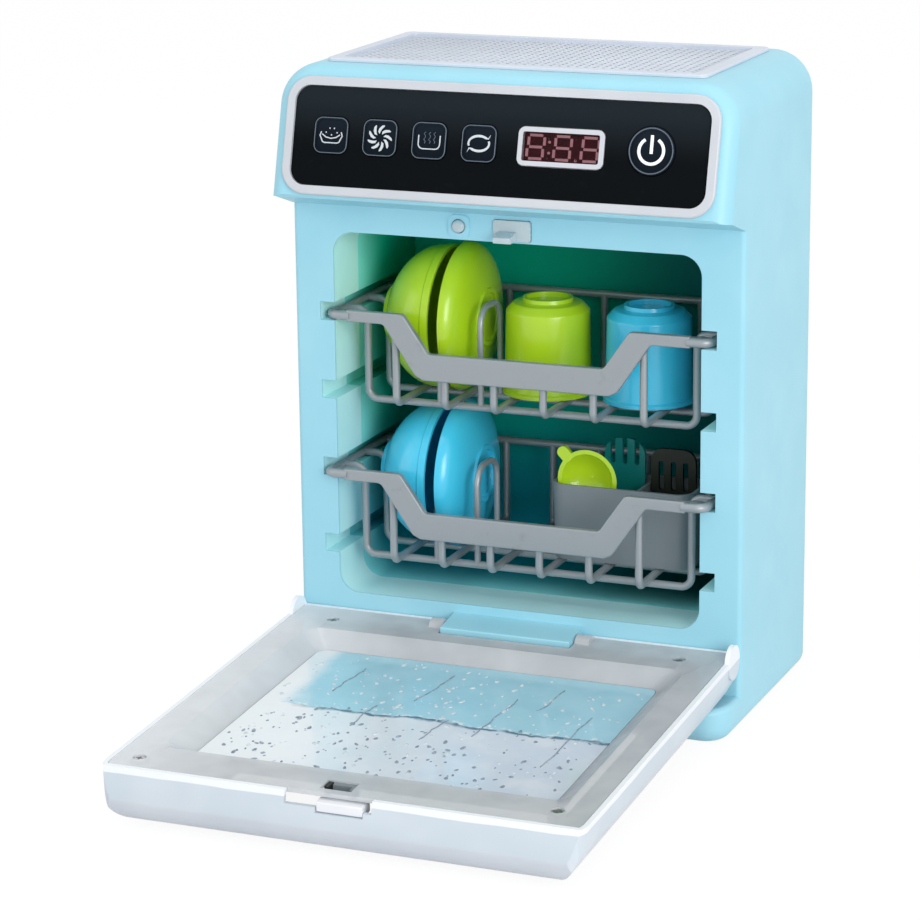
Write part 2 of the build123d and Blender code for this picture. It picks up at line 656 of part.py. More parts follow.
def digit_bars(x):
    """Seven bars of one slightly slanted digit."""
    half_w, half_h, bar = DIGIT_WIDTH / 2, DIGIT_HEIGHT / 2, DIGIT_BAR
    lying = Rectangle(DIGIT_WIDTH - 2.2 * bar, bar)
    upright = Rectangle(bar, half_h - 1.4 * bar)
    faces = [Pos(0, y) * lying for y in (-half_h, 0, half_h)]
    for side in (-1, 1):
        for y in (-half_h / 2, half_h / 2):
            slant = DIGIT_SLANT * y
            faces.append(Pos(side * (half_w - bar / 2) + slant, y) * upright)
    return [Pos(x, DISPLAY_RISE) * face for face in faces]


def display_digits():
    """Three digits with a colon, on the module."""
    faces = []
    for x in DIGIT_XS:
        faces += digit_bars(x)
    colon_x = (DIGIT_XS[0] + DIGIT_XS[1]) / 2
    for y in (-2.4, 2.4):
        faces.append(Pos(colon_x, DISPLAY_RISE + y) * Circle(0.6))
    faces.append(Pos((DIGIT_XS[1] + DIGIT_XS[2]) / 2, DISPLAY_RISE - 5.2) * Circle(0.6))
    return Compound([panel_solid(face, -1.85, -1.4) for face in faces])


def circuit_board():
    """Board behind the panel, with its switches and a chip."""
    board = panel_solid(Rectangle(2 * BOARD_POST_X + 6, 30), -BOARD_OUT - 1.7, -BOARD_OUT - 0.1)
    for x in (-BOARD_POST_X, BOARD_POST_X):
        board -= panel_solid(Pos(x, 0) * Circle(SCREW_R + SCREW_CLEARANCE), -20, 0)
    spots = [(x, BUTTON_RISE) for x in BUTTON_XS] + [(POWER_X, POWER_RISE)]
    for x, y in spots:
        board += panel_solid(Pos(x, y) * Rectangle(6, 6), -BOARD_OUT - 0.2, SWITCH_TOP)
    board += panel_solid(Pos(0, -2) * Rectangle(16, 10), -BOARD_OUT - 3.4, -BOARD_OUT - 1.6)
    return board


def board_screws():
    """Screws that hold the circuit board to the bezel posts."""
    parts = []
    for x in (-BOARD_POST_X, BOARD_POST_X):
        spot = PANEL.offset(-BOARD_OUT - 1.8).location * Pos(x, 0, 0)
        parts.append(spot * screw(0, 0, 0, Rot(180, 0, 0), length=5))
    return Compound(parts)


def door_sensor_button():
    """Domed pin on the lintel, with its stem and collar behind the wall."""
    pin = Pos(0, 0, 0.4) * Cylinder(SENSOR_R, 4.4)
    pin = fillet(pin.edges().sort_by(Axis.Z)[-1], 1.6)
    pin += Pos(0, 0, -5.8) * Cylinder(1.6, 9)
    turned = Rot(90, 0, 0) * pin
    collar = Pos(0, WALL + 1.1, 0) * Rot(90, 0, 0) * Cylinder(SENSOR_R + 1.4, 1.2)
    return Pos(SENSOR_X, 0, SENSOR_Z) * (turned + collar)


def latch_keeper():
    """Plate with a hook on the lintel that the door latch holds."""
    middle = Pos(sum(KEEPER_XS) / 2, sum(KEEPER_ZS) / 2)
    size = (KEEPER_XS[1] - KEEPER_XS[0], KEEPER_ZS[1] - KEEPER_ZS[0])
    keeper = front_solid(middle * RectangleRounded(*size, 1.0), -1.2, KEEPER_SEAT - 0.1)
    hook = [(0.5, HOOK_ZS[0]), (HOOK_REACH_Y, HOOK_ZS[0]), (HOOK_REACH_Y, HOOK_ZS[0] + 2.6)]
    hook += [(-2.5, HOOK_ZS[1]), (0.5, HOOK_ZS[1])]
    return keeper + side_solid(hook, *HOOK_XS)


def door_front_face(inset):
    """Front view of the door: straight at the rim and swept in towards the outside."""
    top = DOOR_RIM + 20
    half = DOOR_HALF_WIDTH - inset
    low = DOOR_DEPTH_Z + inset
    right = Bezier((half, DOOR_RIM), (half - 1, -14), (half - 6.5, low), (half - 23.5, low))
    left = Bezier((23.5 - half, low), (6.5 - half, low), (1 - half, -14), (-half, DOOR_RIM))
    lines = [Line((half, top), (half, DOOR_RIM)), right, Line(right @ 1, left @ 0), left]
    lines += [Line((-half, DOOR_RIM), (-half, top)), Line((-half, top), (half, top))]
    return make_face(lines)


def door_side_points(inset):
    """Corner points of the door's side view, moved in by a wall."""
    near = (DOOR_NEAR_Y - inset, -3.0)
    throat = (-15.5, -16.8 + inset)
    low = DOOR_DEPTH_Z + inset
    fold = (DOOR_FAR_FOLD[0] + inset, DOOR_FAR_FOLD[1])
    return near, throat, low, fold


def door_side_face(inset):
    """Side view of the door: shallow at the hinge, full depth beyond the foot lip."""
    top = DOOR_RIM + 20
    near, throat, low, fold = door_side_points(inset)
    rim = (DOOR_FAR_RIM_Y + inset, DOOR_RIM)
    under = Bezier(near, (near[0], -12), (0, throat[1] + 0.8), throat)
    step = Bezier(throat, (-22, throat[1] - 0.7), (-26, low), (-40, low))
    heel = Bezier((-180, low), (-194, low), (fold[0] + 1.4, -21), fold)
    lines = [Line((near[0], top), near), under, step, Line((-40, low), (-180, low)), heel]
    lines += [Line(fold, rim), Line(rim, (rim[0], top)), Line((rim[0], top), (near[0], top))]
    return make_face(lines)


def door_body(inset, top):
    """Door form in its flat frame, up to a height."""
    half = DOOR_HALF_WIDTH - inset
    plane = Plane(origin=(-half - 1, 0, 0), x_dir=(0, 1, 0), z_dir=(1, 0, 0))
    side = extrude(plane * door_side_face(inset), amount=2 * half + 2)
    front = front_solid(door_front_face(inset), -230, 30)
    near, far = DOOR_NEAR_Y - inset, DOOR_FAR_FOLD[0] - 1.5 + inset
    plan = Pos(0, (near + far) / 2) * Rectangle(2 * half, near - far)
    corners = plan.vertices().sort_by(Axis.Y)
    plan = fillet(corners[:2], DOOR_CORNER_R - inset)
    return side & front & (Pos(0, 0, -40) * extrude(plan, amount=40 + top))


def place_door(part):
    """Puts a piece from the door's flat frame into the open pose."""
    return Pos(0, HINGE_Y, HINGE_Z) * Rot(OPEN_SAG, 0, 0) * part


def x_cylinder(low, high, radius):
    """Cylinder around the door's own hinge axis."""
    return Pos((low + high) / 2, 0, 0) * Rot(0, 90, 0) * Cylinder(radius, high - low)


def hinge_notch():
    """Room in the door for the hinge block over the whole swing."""
    low, high = BLOCK_XS[0] - BLOCK_GAP, BLOCK_XS[1] + BLOCK_GAP
    return x_cylinder(low, high, BLOCK_SWEEP_R)


def latch_slot(grow):
    """Slot of the latch in the far end wall."""
    xs = (LATCH_XS[0] - grow, LATCH_XS[1] + grow)
    zs = (LATCH_ZS[0] - grow, DOOR_RIM + 1)
    return span_box(xs, (LATCH_FAR_Y - 4, LATCH_FAR_Y + 6), zs)


def door_shell():
    """White outer shell with ears, window opening, screw posts and latch notch."""
    shell = door_body(0, DOOR_RIM) - door_body(DOOR_WALL, DOOR_RIM + 5)
    pane = Pos(0, (WINDOW_NEAR_Y + WINDOW_FAR_Y) / 2)
    size = (2 * WINDOW_HALF_WIDTH - 12, WINDOW_NEAR_Y - WINDOW_FAR_Y - 12)
    shell -= pane * Pos(0, 0, DOOR_DEPTH_Z - 1) * extrude(RectangleRounded(*size, 8), amount=6)
    for side in (-1, 1):
        ear = x_cylinder(0, DOOR_WALL, EAR_R)
        shift = DOOR_HALF_WIDTH - DOOR_WALL if side > 0 else -DOOR_HALF_WIDTH
        shell += Pos(shift, 0, 0) * ear
    for x, y in DOOR_SCREWS:
        post = Pos(x, y, POST_TOP_Z - 12) * Cylinder(3.6, 24)
        shell += post & door_body(0.5, POST_TOP_Z)
    for x, y in DOOR_SCREWS:
        shell -= Pos(x, y, POST_TOP_Z) * Cylinder(SCREW_R + SCREW_CLEARANCE, 2 * (SCREW_LENGTH - 2))
    notch_ys = (DOOR_FAR_FOLD[0] - 10, DOOR_FAR_RIM_Y + 5)
    shell -= span_box(LATCH_NOTCH_XS, notch_ys, (DOOR_RIM - LATCH_NOTCH_DEPTH, 9))
    return place_door(shell - latch_slot(FIT_GAP) - hinge_notch())


def window_frustum(low_grow, high_grow, low, high):
    """Tapered block of the window recess between two heights."""
    mid = (WINDOW_NEAR_Y + WINDOW_FAR_Y) / 2
    span = WINDOW_NEAR_Y - WINDOW_FAR_Y
    half = WINDOW_HALF_WIDTH
    wide = WINDOW_TOP_HALF_WIDTH
    bottom = RectangleRounded(2 * (half + low_grow), span + 2 * low_grow, 5)
    top = RectangleRounded(2 * (wide + high_grow), span + 2 * (WINDOW_BEVEL_Y + high_grow), 8)
    return Pos(0, mid) * loft([Pos(0, 0, low) * bottom, Pos(0, 0, high) * top])


def liner_knuckle(low):
    """Knuckle that turns on the hinge pin."""
    return x_cylinder(low, low + KNUCKLE_LENGTH, KNUCKLE_R)


def door_liner():
    """Clear inner moulding: rim plate, sunk window recess, ribs, bosses and knuckles."""
    edge = DOOR_WALL + LINER_GAP
    low = DOOR_RIM - LINER_THICKNESS
    whole = door_body(edge, DOOR_RIM)
    plate = whole & span_box((-120, 120), (-220, 20), (low, 5))
    sink = DOOR_RIM - WINDOW_SINK
    ledge = sink - PANE_THICKNESS
    wall = LINER_THICKNESS
    plate += window_frustum(wall, wall, sink, DOOR_RIM) & whole
    mid = (WINDOW_NEAR_Y + WINDOW_FAR_Y) / 2
    span = WINDOW_NEAR_Y - WINDOW_FAR_Y
    floor = RectangleRounded(2 * (WINDOW_HALF_WIDTH + wall), span + 2 * wall, 5)
    plate += Pos(0, mid, ledge - wall) * extrude(floor, amount=sink - ledge + wall + 0.2)
    for x in RIB_XS:
        plate += span_box((x - 0.6, x + 0.6), (-19.0, 2.0), (RIB_LOW_Z, low + 0.2)) & whole
    for y in RIB_YS:
        for side in (-1, 1):
            xs = sorted((side * 98.0, side * 105.0))
            plate += span_box(xs, (y - 0.6, y + 0.6), (RIB_LOW_Z + 2, low + 0.2)) & whole
    for x, y in DOOR_SCREWS:
        plate += Pos(x, y, (POST_TOP_Z + 0.3 + low) / 2 + 0.1) * Cylinder(4.6, low - POST_TOP_Z)
    plate += liner_knuckle(BLOCK_XS[1] + BLOCK_GAP)
    plate += liner_knuckle(BLOCK_XS[0] - BLOCK_GAP - KNUCKLE_LENGTH)
    plate -= window_frustum(0, 0, sink, DOOR_RIM + 0.001)
    pane = RectangleRounded(2 * WINDOW_HALF_WIDTH, span, 5)
    plate -= Pos(0, mid, ledge) * extrude(pane, amount=PANE_THICKNESS + 0.01)
    view = (2 * (WINDOW_HALF_WIDTH - WINDOW_LEDGE), span - 2 * WINDOW_LEDGE)
    plate -= Pos(0, mid, ledge - 9) * extrude(RectangleRounded(*view, 4), amount=12)
    return place_door(cut_liner(plate, low))


def cut_liner(plate, low):
    """Screw seats, catch pocket, hinge notch and pin bore of the liner."""
    for x, y in DOOR_SCREWS:
        plate -= Pos(x, y, 0) * Cylinder(SCREW_R + SCREW_CLEARANCE, 30)
        plate -= Pos(x, y, DOOR_RIM) * Cylinder(SCREW_HEAD_R + 0.3, 2 * (SCREW_HEAD + 0.5))
    plate -= span_box(POCKET_XS, POCKET_YS, (low - 1, DOOR_RIM + 1))
    shelf = (BLOCK_XS[0] - BLOCK_GAP, BLOCK_XS[1] + BLOCK_GAP)
    plate -= hinge_notch()
    plate -= span_box(shelf, (-WINDOW_BEVEL_Y - 1.5, 9), (-12, 9))
    plate -= x_cylinder(-60, 60, PIN_R + PIN_CLEARANCE)
    return plate


def door_window():
    """Clear pane that lies on the liner's ledge."""
    mid = (WINDOW_NEAR_Y + WINDOW_FAR_Y) / 2
    span = WINDOW_NEAR_Y - WINDOW_FAR_Y
    size = (2 * (WINDOW_HALF_WIDTH - 0.3), span - 0.6)
    sink = DOOR_RIM - WINDOW_SINK
    pane = extrude(RectangleRounded(*size, 4.7), amount=PANE_THICKNESS - 0.1)
    return place_door(Pos(0, mid, sink - PANE_THICKNESS + 0.05) * pane)


def door_latch():
    """Sliding latch in the far end of the door, with a finger step."""
    body = span_box(LATCH_XS, (LATCH_FAR_Y, LATCH_FAR_Y + LATCH_LENGTH), LATCH_ZS)
    body = fillet(body.faces().sort_by(Axis.Y)[0].edges(), 0.7)
    xs = (sum(LATCH_XS) / 2 - 4, sum(LATCH_XS) / 2 + 4)
    ys = (LATCH_FAR_Y + 4, LATCH_FAR_Y + LATCH_LENGTH)
    body += span_box(xs, ys, (LATCH_ZS[0] - 3, LATCH_ZS[0] + 1))
    return place_door(body)


def door_screws():
    """Screws that join the liner to the shell."""
    z = DOOR_RIM - SCREW_HEAD - 0.45
    parts = [screw(x, y, z, Rot(0, 0, 0), length=SCREW_LENGTH) for x, y in DOOR_SCREWS]
    return place_door(Compound(parts))


def hinge_pin():
    """Steel pin through the block and both knuckles."""
    low = BLOCK_XS[0] - BLOCK_GAP - KNUCKLE_LENGTH
    high = BLOCK_XS[1] + BLOCK_GAP + KNUCKLE_LENGTH
    return place_door(x_cylinder(low, high, PIN_R))


def rack_rail():
    """Top rail of a rack, open at the front where the handle closes it."""
    front = RAIL_START_Y
    path = [(-RAIL_X, front, RAIL_Z), (-RAIL_X, RACK_BACK_Y, RAIL_Z)]
    path += [(RAIL_X, RACK_BACK_Y, RAIL_Z), (RAIL_X, front, RAIL_Z)]
    return bent_rod(path, WIRE_R, BEND_R)


def cross_wires():
    """Wires that hang from the side rails and carry the floor of the rack."""
    wires = []
    for y in CROSS_YS:
        path = [(-RAIL_X, y, RAIL_Z), (-SIDE_WIRE_X, y, RAIL_Z), (-SIDE_WIRE_X, y, CROSS_Z)]
        path += [(-x, y, z) for x, y, z in reversed(path)]
        wires.append(bent_rod(path, WIRE_R, BEND_R - 1))
    return Compound(wires)


def long_wires():
    """Floor wires that rise to the handle in front and to the rail at the back."""
    wires = []
    for x in LONG_XS:
        top = LONG_OUTER_TOP if abs(x) > 50 else LONG_INNER_TOP
        path = [(x, LONG_FRONT_Y, top), (x, LONG_FRONT_Y, LONG_Z)]
        path += [(x, RACK_BACK_Y, LONG_Z), (x, RACK_BACK_Y, RAIL_Z)]
        wires.append(bent_rod(path, WIRE_R, BEND_R - 2))
    return Compound(wires)


def plate_tines():
    """Hairpin tines that hold the plates upright."""
    tines = []
    for x in TINE_XS:
        path = [(x, CROSS_YS[0], CROSS_Z), (x, CROSS_YS[0], TINE_TOP_Z)]
        path += [(x, CROSS_YS[1], TINE_TOP_Z), (x, CROSS_YS[1], CROSS_Z)]
        tines.append(bent_rod(path, TINE_R, 9.0))
    return Compound(tines)


def rack_handle():
    """Silver band with its dip, and the ends that curl back to the rail."""
    top = BAND_OUTLINE + [(-x, z) for x, z in reversed(BAND_OUTLINE)]
    under = [(-x, z) for x, z in BAND_UNDERSIDE] + list(reversed(BAND_UNDERSIDE))
    face = make_face(Polyline(*top, *under, close=True))
    inner = [v for v in face.vertices() if abs(v.X) < BAND_END_X - 1]
    face = fillet(inner, 3.0)
    band = front_solid(face, 0, BAND_THICKNESS)
    band = fillet(band.faces().sort_by(Axis.Y)[0].edges(), 0.8)
    middle = BAND_THICKNESS / 2
    for side in (-1, 1):
        x = side * (BAND_END_X - 1.5)
        path = [(x, middle, BAND_ROD_Z), (side * RAIL_X, middle, BAND_ROD_Z)]
        path += [(side * RAIL_X, RAIL_START_Y - 0.05, BAND_ROD_Z - 0.4)]
        band += bent_rod(path, BAND_ROD_R, 4.5)
        band += gusset(side)
    return band


def gusset(side):
    """Corner web of the handle, with a hole."""
    points = [(70.0, 2.0), (84.0, 2.0), (91.6, 5.0), (91.6, 9.6), (86.5, 11.5)]
    face = make_face(Polyline(*points, close=True)) - Pos(86.4, 6.4) * Circle(1.7)
    web = Pos(0, 0, BAND_ROD_Z - 0.9) * extrude(face, amount=1.8)
    return web if side > 0 else mirror(web, about=Plane.YZ)


def cup(x):
    """Cup standing upside down, with a foot ring on its base."""
    r = CUP_R
    points = [(r - DISH_WALL, 0), (r + 0.9, 0), (r + 0.9, 1.6), (r, 2.4)]
    points += [(r - 0.8, CUP_HEIGHT - 6), (r - 4.2, CUP_HEIGHT - 2.4), (CUP_FOOT_R, CUP_HEIGHT - 1.8)]
    points += [(CUP_FOOT_R - 0.2, CUP_HEIGHT), (CUP_FOOT_R - 1.8, CUP_HEIGHT)]
    points += [(CUP_FOOT_R - 2.0, CUP_HEIGHT - 2.2), (0, CUP_HEIGHT - 2.2), (0, CUP_HEIGHT - 4.0)]
    points += [(r - 5.0, CUP_HEIGHT - 4.4), (r - 2.6, CUP_HEIGHT - 7)]
    face = make_face(Polyline(*points, close=True))
    soft = [v for v in face.vertices() if v.X > 13 and v.Y > CUP_HEIGHT - 8]
    face = fillet(soft, 1.6)
    plane = Plane(origin=(x, DISH_MIDDLE_Y, CUP_FLOOR_Z), x_dir=(1, 0, 0), z_dir=(0, -1, 0))
    return revolve(plane * face, Axis((x, DISH_MIDDLE_Y, 0), (0, 0, 1)))


def dish(profile, rim_x, radius):
    """Round dish standing on its edge, from (distance along X, radius) points."""
    z = CROSS_Z + WIRE_R + 0.3 + radius
    plane = Plane(origin=(rim_x, DISH_MIDDLE_Y, z), x_dir=(1, 0, 0), z_dir=(0, -1, 0))
    face = make_face(profile)
    return revolve(plane * face, Axis((rim_x, DISH_MIDDLE_Y, z), (1, 0, 0)))


def plate():
    """Plate on edge, its back towards +X."""
    r, d, t = PLATE_R, PLATE_DEPTH, DISH_WALL
    back = Spline((0.0, r), (2.6, r - 0.6), (d - 3.2, r - 11), (d - 1.2, 14.0))
    foot = Polyline(back @ 1, (d, 13.6), (d, 11.6), (d - 1.4, 11.2), (d - 1.4, 0))
    inner = Spline((d - 1.4 - t, 12.0), (d - 4.6, r - 12.6), (2.0, r - 3.4), (0.0, r - 3.0))
    lines = [back, foot, Line(foot @ 1, (d - 1.4 - t, 0)), Line((d - 1.4 - t, 0), inner @ 0)]
    lines += [inner, Line(inner @ 1, back @ 0)]
    return dish(lines, PLATE_RIM_X, r)


def bowl():
    """Bowl on edge, opening towards +X, with a step below its rim."""
    r, d, t = BOWL_R, BOWL_DEPTH, DISH_WALL
    rim = Polyline((0.0, r - t), (0.0, r), (-3.4, r), (-4.0, r - 0.7))
    outer = Spline(rim @ 1, (-14.0, r - 2.6), (-23.0, r - 10.0), (-d + 2.0, 14.0))
    foot = Polyline(outer @ 1, (-d, 13.4), (-d, 11.6), (-d + 2.0, 11.2), (-d + 2.0, 0))
    inner = Spline((-d + 2.0 + t, 12.0), (-22.0, r - 11.6), (-14.0, r - 4.4), (0.0, r - t))
    lines = [rim, outer, foot, Line(foot @ 1, (-d + 2.0 + t, 0))]
    lines += [Line((-d + 2.0 + t, 0), inner @ 0), inner]
    return dish(lines, BOWL_RIM_X, r)


def cutlery_box():
    """Open box for the cutlery, with a divider, at the lower rack's height."""
    mid = (sum(BOX_XS) / 2, sum(BOX_YS) / 2)
    size = (BOX_XS[1] - BOX_XS[0], BOX_YS[1] - BOX_YS[0])
    height = BOX_TOP_Z - BOX_LOW_Z
    face = RectangleRounded(*size, BOX_CORNER_R)
    small = RectangleRounded(size[0] - 2.4, size[1] - 2.4, BOX_CORNER_R - 1.2)
    body = loft([small, Pos(0, 0, height) * face])
    inner = RectangleRounded(size[0] - 2 * BOX_WALL, size[1] - 2 * BOX_WALL, BOX_CORNER_R - BOX_WALL)
    inner_low = RectangleRounded(size[0] - 2.4 - 2 * BOX_WALL, size[1] - 2.4 - 2 * BOX_WALL, 5.2)
    body -= loft([Pos(0, 0, BOX_WALL) * inner_low, Pos(0, 0, height + 0.01) * inner])
    body += Pos(DIVIDER_X, 0, height / 2 - 1) * Box(1.4, size[1] - 3, height - 3)
    for x in (-24, -14, 14, 24):
        body -= Pos(x, 0, 0) * Box(4, 12, 6)
    return Pos(*mid, BOX_LOW_Z) * body


def spoon():
    """Serving spoon that stands in the box, its round bowl above the edge."""
    x, y, z = SPOON_TOP
    ball = (SPOON_R**2 + SPOON_DEPTH**2) / (2 * SPOON_DEPTH)
    shell = Sphere(ball) - Sphere(ball - 1.8)
    head = Pos(x, y - ball, z) * Rot(90, 0, 0) * shell
    head &= span_box((x - 20, x + 20), (y - SPOON_DEPTH, y + 5), (z - 20, z + 20))
    tab = Pos(x, z) * Rot(0, 0, 134) * Pos(SPOON_R + 1.5, 0) * RectangleRounded(8, 5.6, 2.7)
    head += front_solid(tab, y - SPOON_DEPTH, y - SPOON_DEPTH + 2.4)
    low, high = BOX_LOW_Z + BOX_WALL + 0.4, z - SPOON_R + 3
    handle = Pos(x + 0.5, (low + high) / 2) * RectangleRounded(5.2, high - low, 2)
    return head + front_solid(handle, y - SPOON_DEPTH, y - SPOON_DEPTH + 3.4)


def fork():
    """Broad server standing at the back of the box."""
    x, y, z = FORK_TOP
    blade = Pos(x, z) * RectangleRounded(20, 30, 8)
    for step in (-6, 0, 6):
        blade -= Pos(x + step, z + 9) * SlotOverall(13, 2.4, rotation=90)
    return front_solid(blade, y, y + 2.2) + rod((x, y + 1.1, z - 12), (x, y + 1.1, BOX_LOW_Z + 3), 2.0)


def ladle():
    """Dark turner standing at the right of the box."""
    x, y, z = LADLE_TOP
    blade = Pos(x, z) * RectangleRounded(22, 26, 6)
    for step in (-6, 0, 6):
        blade -= Pos(x + step, z) * SlotOverall(14, 2.6, rotation=90)
    return front_solid(blade, y, y + 2.2) + rod((x, y + 1.1, z - 10), (x, y + 1.1, BOX_LOW_Z + 3), 2.0)


def write_part(name, shape):
    """Moves a piece to the footprint's middle and writes its STEP file."""
    export_step(Pos(0, -ORIGIN_Y, 0) * shape, f"parts/{name}.step")


def main():
    """Builds and writes every node."""
    single = [cabinet_shell, tub_liner, rear_cover, base_plate, battery_cover, case_screws]
    single += [battery_screw, batteries, battery_contacts, speaker, top_tray, panel_bezel]
    single += [panel_fascia, power_button, display_frame, display_window, display_module]
    single += [display_digits, circuit_board, board_screws, door_sensor_button, latch_keeper]
    single += [door_shell, door_liner, door_window, door_latch, door_screws, hinge_pin]
    for build in single:
        write_part(build.__name__, build())
    for name, x in zip(BUTTON_NAMES, BUTTON_XS):
        write_part(f"button_{name}", program_button(x))
    lower = Pos(0, -LOWER_RACK_OUT, -RACK_DROP)
    for build in (rack_rail, cross_wires, long_wires, plate_tines, rack_handle):
        piece = build()
        write_part(f"upper_{build.__name__}", piece)
        write_part(f"lower_{build.__name__}", lower * piece)
    write_part("green_cup", cup(CUP_XS[0]))
    write_part("blue_cup", cup(CUP_XS[1]))
    for build in (plate, bowl):
        piece = build()
        write_part(f"green_{build.__name__}", piece)
        write_part(f"blue_{build.__name__}", lower * piece)
    for build in (cutlery_box, spoon, fork, ladle):
        write_part(build.__name__, Pos(0, -LOWER_RACK_OUT, 0) * build())


if __name__ == "__main__":
    main()
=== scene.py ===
"""Looks of the toy dishwasher: finishes, printed panel, wet window, studio and camera."""

import logging
import math
import random
from dataclasses import dataclass, field
from enum import Enum
from typing import Any, Iterable, Protocol, Sequence

import bmesh
import bpy
from mathutils import Matrix, Vector


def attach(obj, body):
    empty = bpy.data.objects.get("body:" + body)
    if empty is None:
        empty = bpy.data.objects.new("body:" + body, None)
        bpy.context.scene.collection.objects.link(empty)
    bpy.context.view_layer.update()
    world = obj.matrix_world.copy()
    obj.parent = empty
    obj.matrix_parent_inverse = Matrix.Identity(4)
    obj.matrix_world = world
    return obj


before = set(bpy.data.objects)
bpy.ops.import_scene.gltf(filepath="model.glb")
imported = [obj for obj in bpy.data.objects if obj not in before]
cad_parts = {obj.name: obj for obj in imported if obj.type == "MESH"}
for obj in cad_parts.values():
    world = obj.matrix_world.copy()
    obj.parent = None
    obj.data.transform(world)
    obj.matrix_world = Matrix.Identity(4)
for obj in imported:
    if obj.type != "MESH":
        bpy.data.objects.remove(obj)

log = logging.getLogger("dishwasher")
MM = 0.001
ORIGIN_Y = 40.75
PLASTIC_IOR = 1.48
Colour = tuple[float, float, float]
Point = tuple[float, float, float]
Span = tuple[float, float]
Offset = tuple[float, float]
Outline = list[Offset]
Line = tuple[Sequence[Vector], bool]
HINGE: Offset = (-49.25, 36.0)
SAG = 3.1
CRISP = 40.0


class Programme(Enum):
    """The four programme buttons, by the node that carries each one."""

    WASH = "button_wash"
    FAN = "button_fan"
    STEAM = "button_steam"
    CYCLE = "button_cycle"


class Level(Enum):
    """The two racks, by the name that their nodes start with."""

    UPPER = "upper"
    LOWER = "lower"


class Socket:
    """A shader output that takes part in plain arithmetic."""

    def __init__(self, shader: "Shader", link: Any) -> None:
        """Keeps the shader and the output or number.

        Args:
            shader: the node tree that new Math nodes go into.
            link: a node's output socket.
        """
        self.shader = shader
        self.link = link

    def _math(self, operation: str, first: Any, second: Any) -> "Socket":
        """Adds one Math node.

        Args:
            operation: the Math node's operation.
            first: the first value, a number or a Socket.
            second: the second value, a number or a Socket.

        Returns:
            The node's result.
        """
        return self.shader.add("ShaderNodeMath", {"operation": operation}, {0: first, 1: second})

    def __add__(self, other: Any) -> "Socket":
        """Sum of the two values."""
        return self._math("ADD", self, other)

    __radd__ = __add__

    def __sub__(self, other: Any) -> "Socket":
        """This value less the other."""
        return self._math("SUBTRACT", self, other)

    def __rsub__(self, other: Any) -> "Socket":
        """The other value less this one."""
        return self._math("SUBTRACT", other, self)

    def __mul__(self, other: Any) -> "Socket":
        """Product of the two values."""
        return self._math("MULTIPLY", self, other)

    __rmul__ = __mul__

    def __gt__(self, other: Any) -> "Socket":
        """One where this value is the larger, else zero."""
        return self._math("GREATER_THAN", self, other)

    def __abs__(self) -> "Socket":
        """Size of the value without its sign."""
        return self._math("ABSOLUTE", self, 0.0)


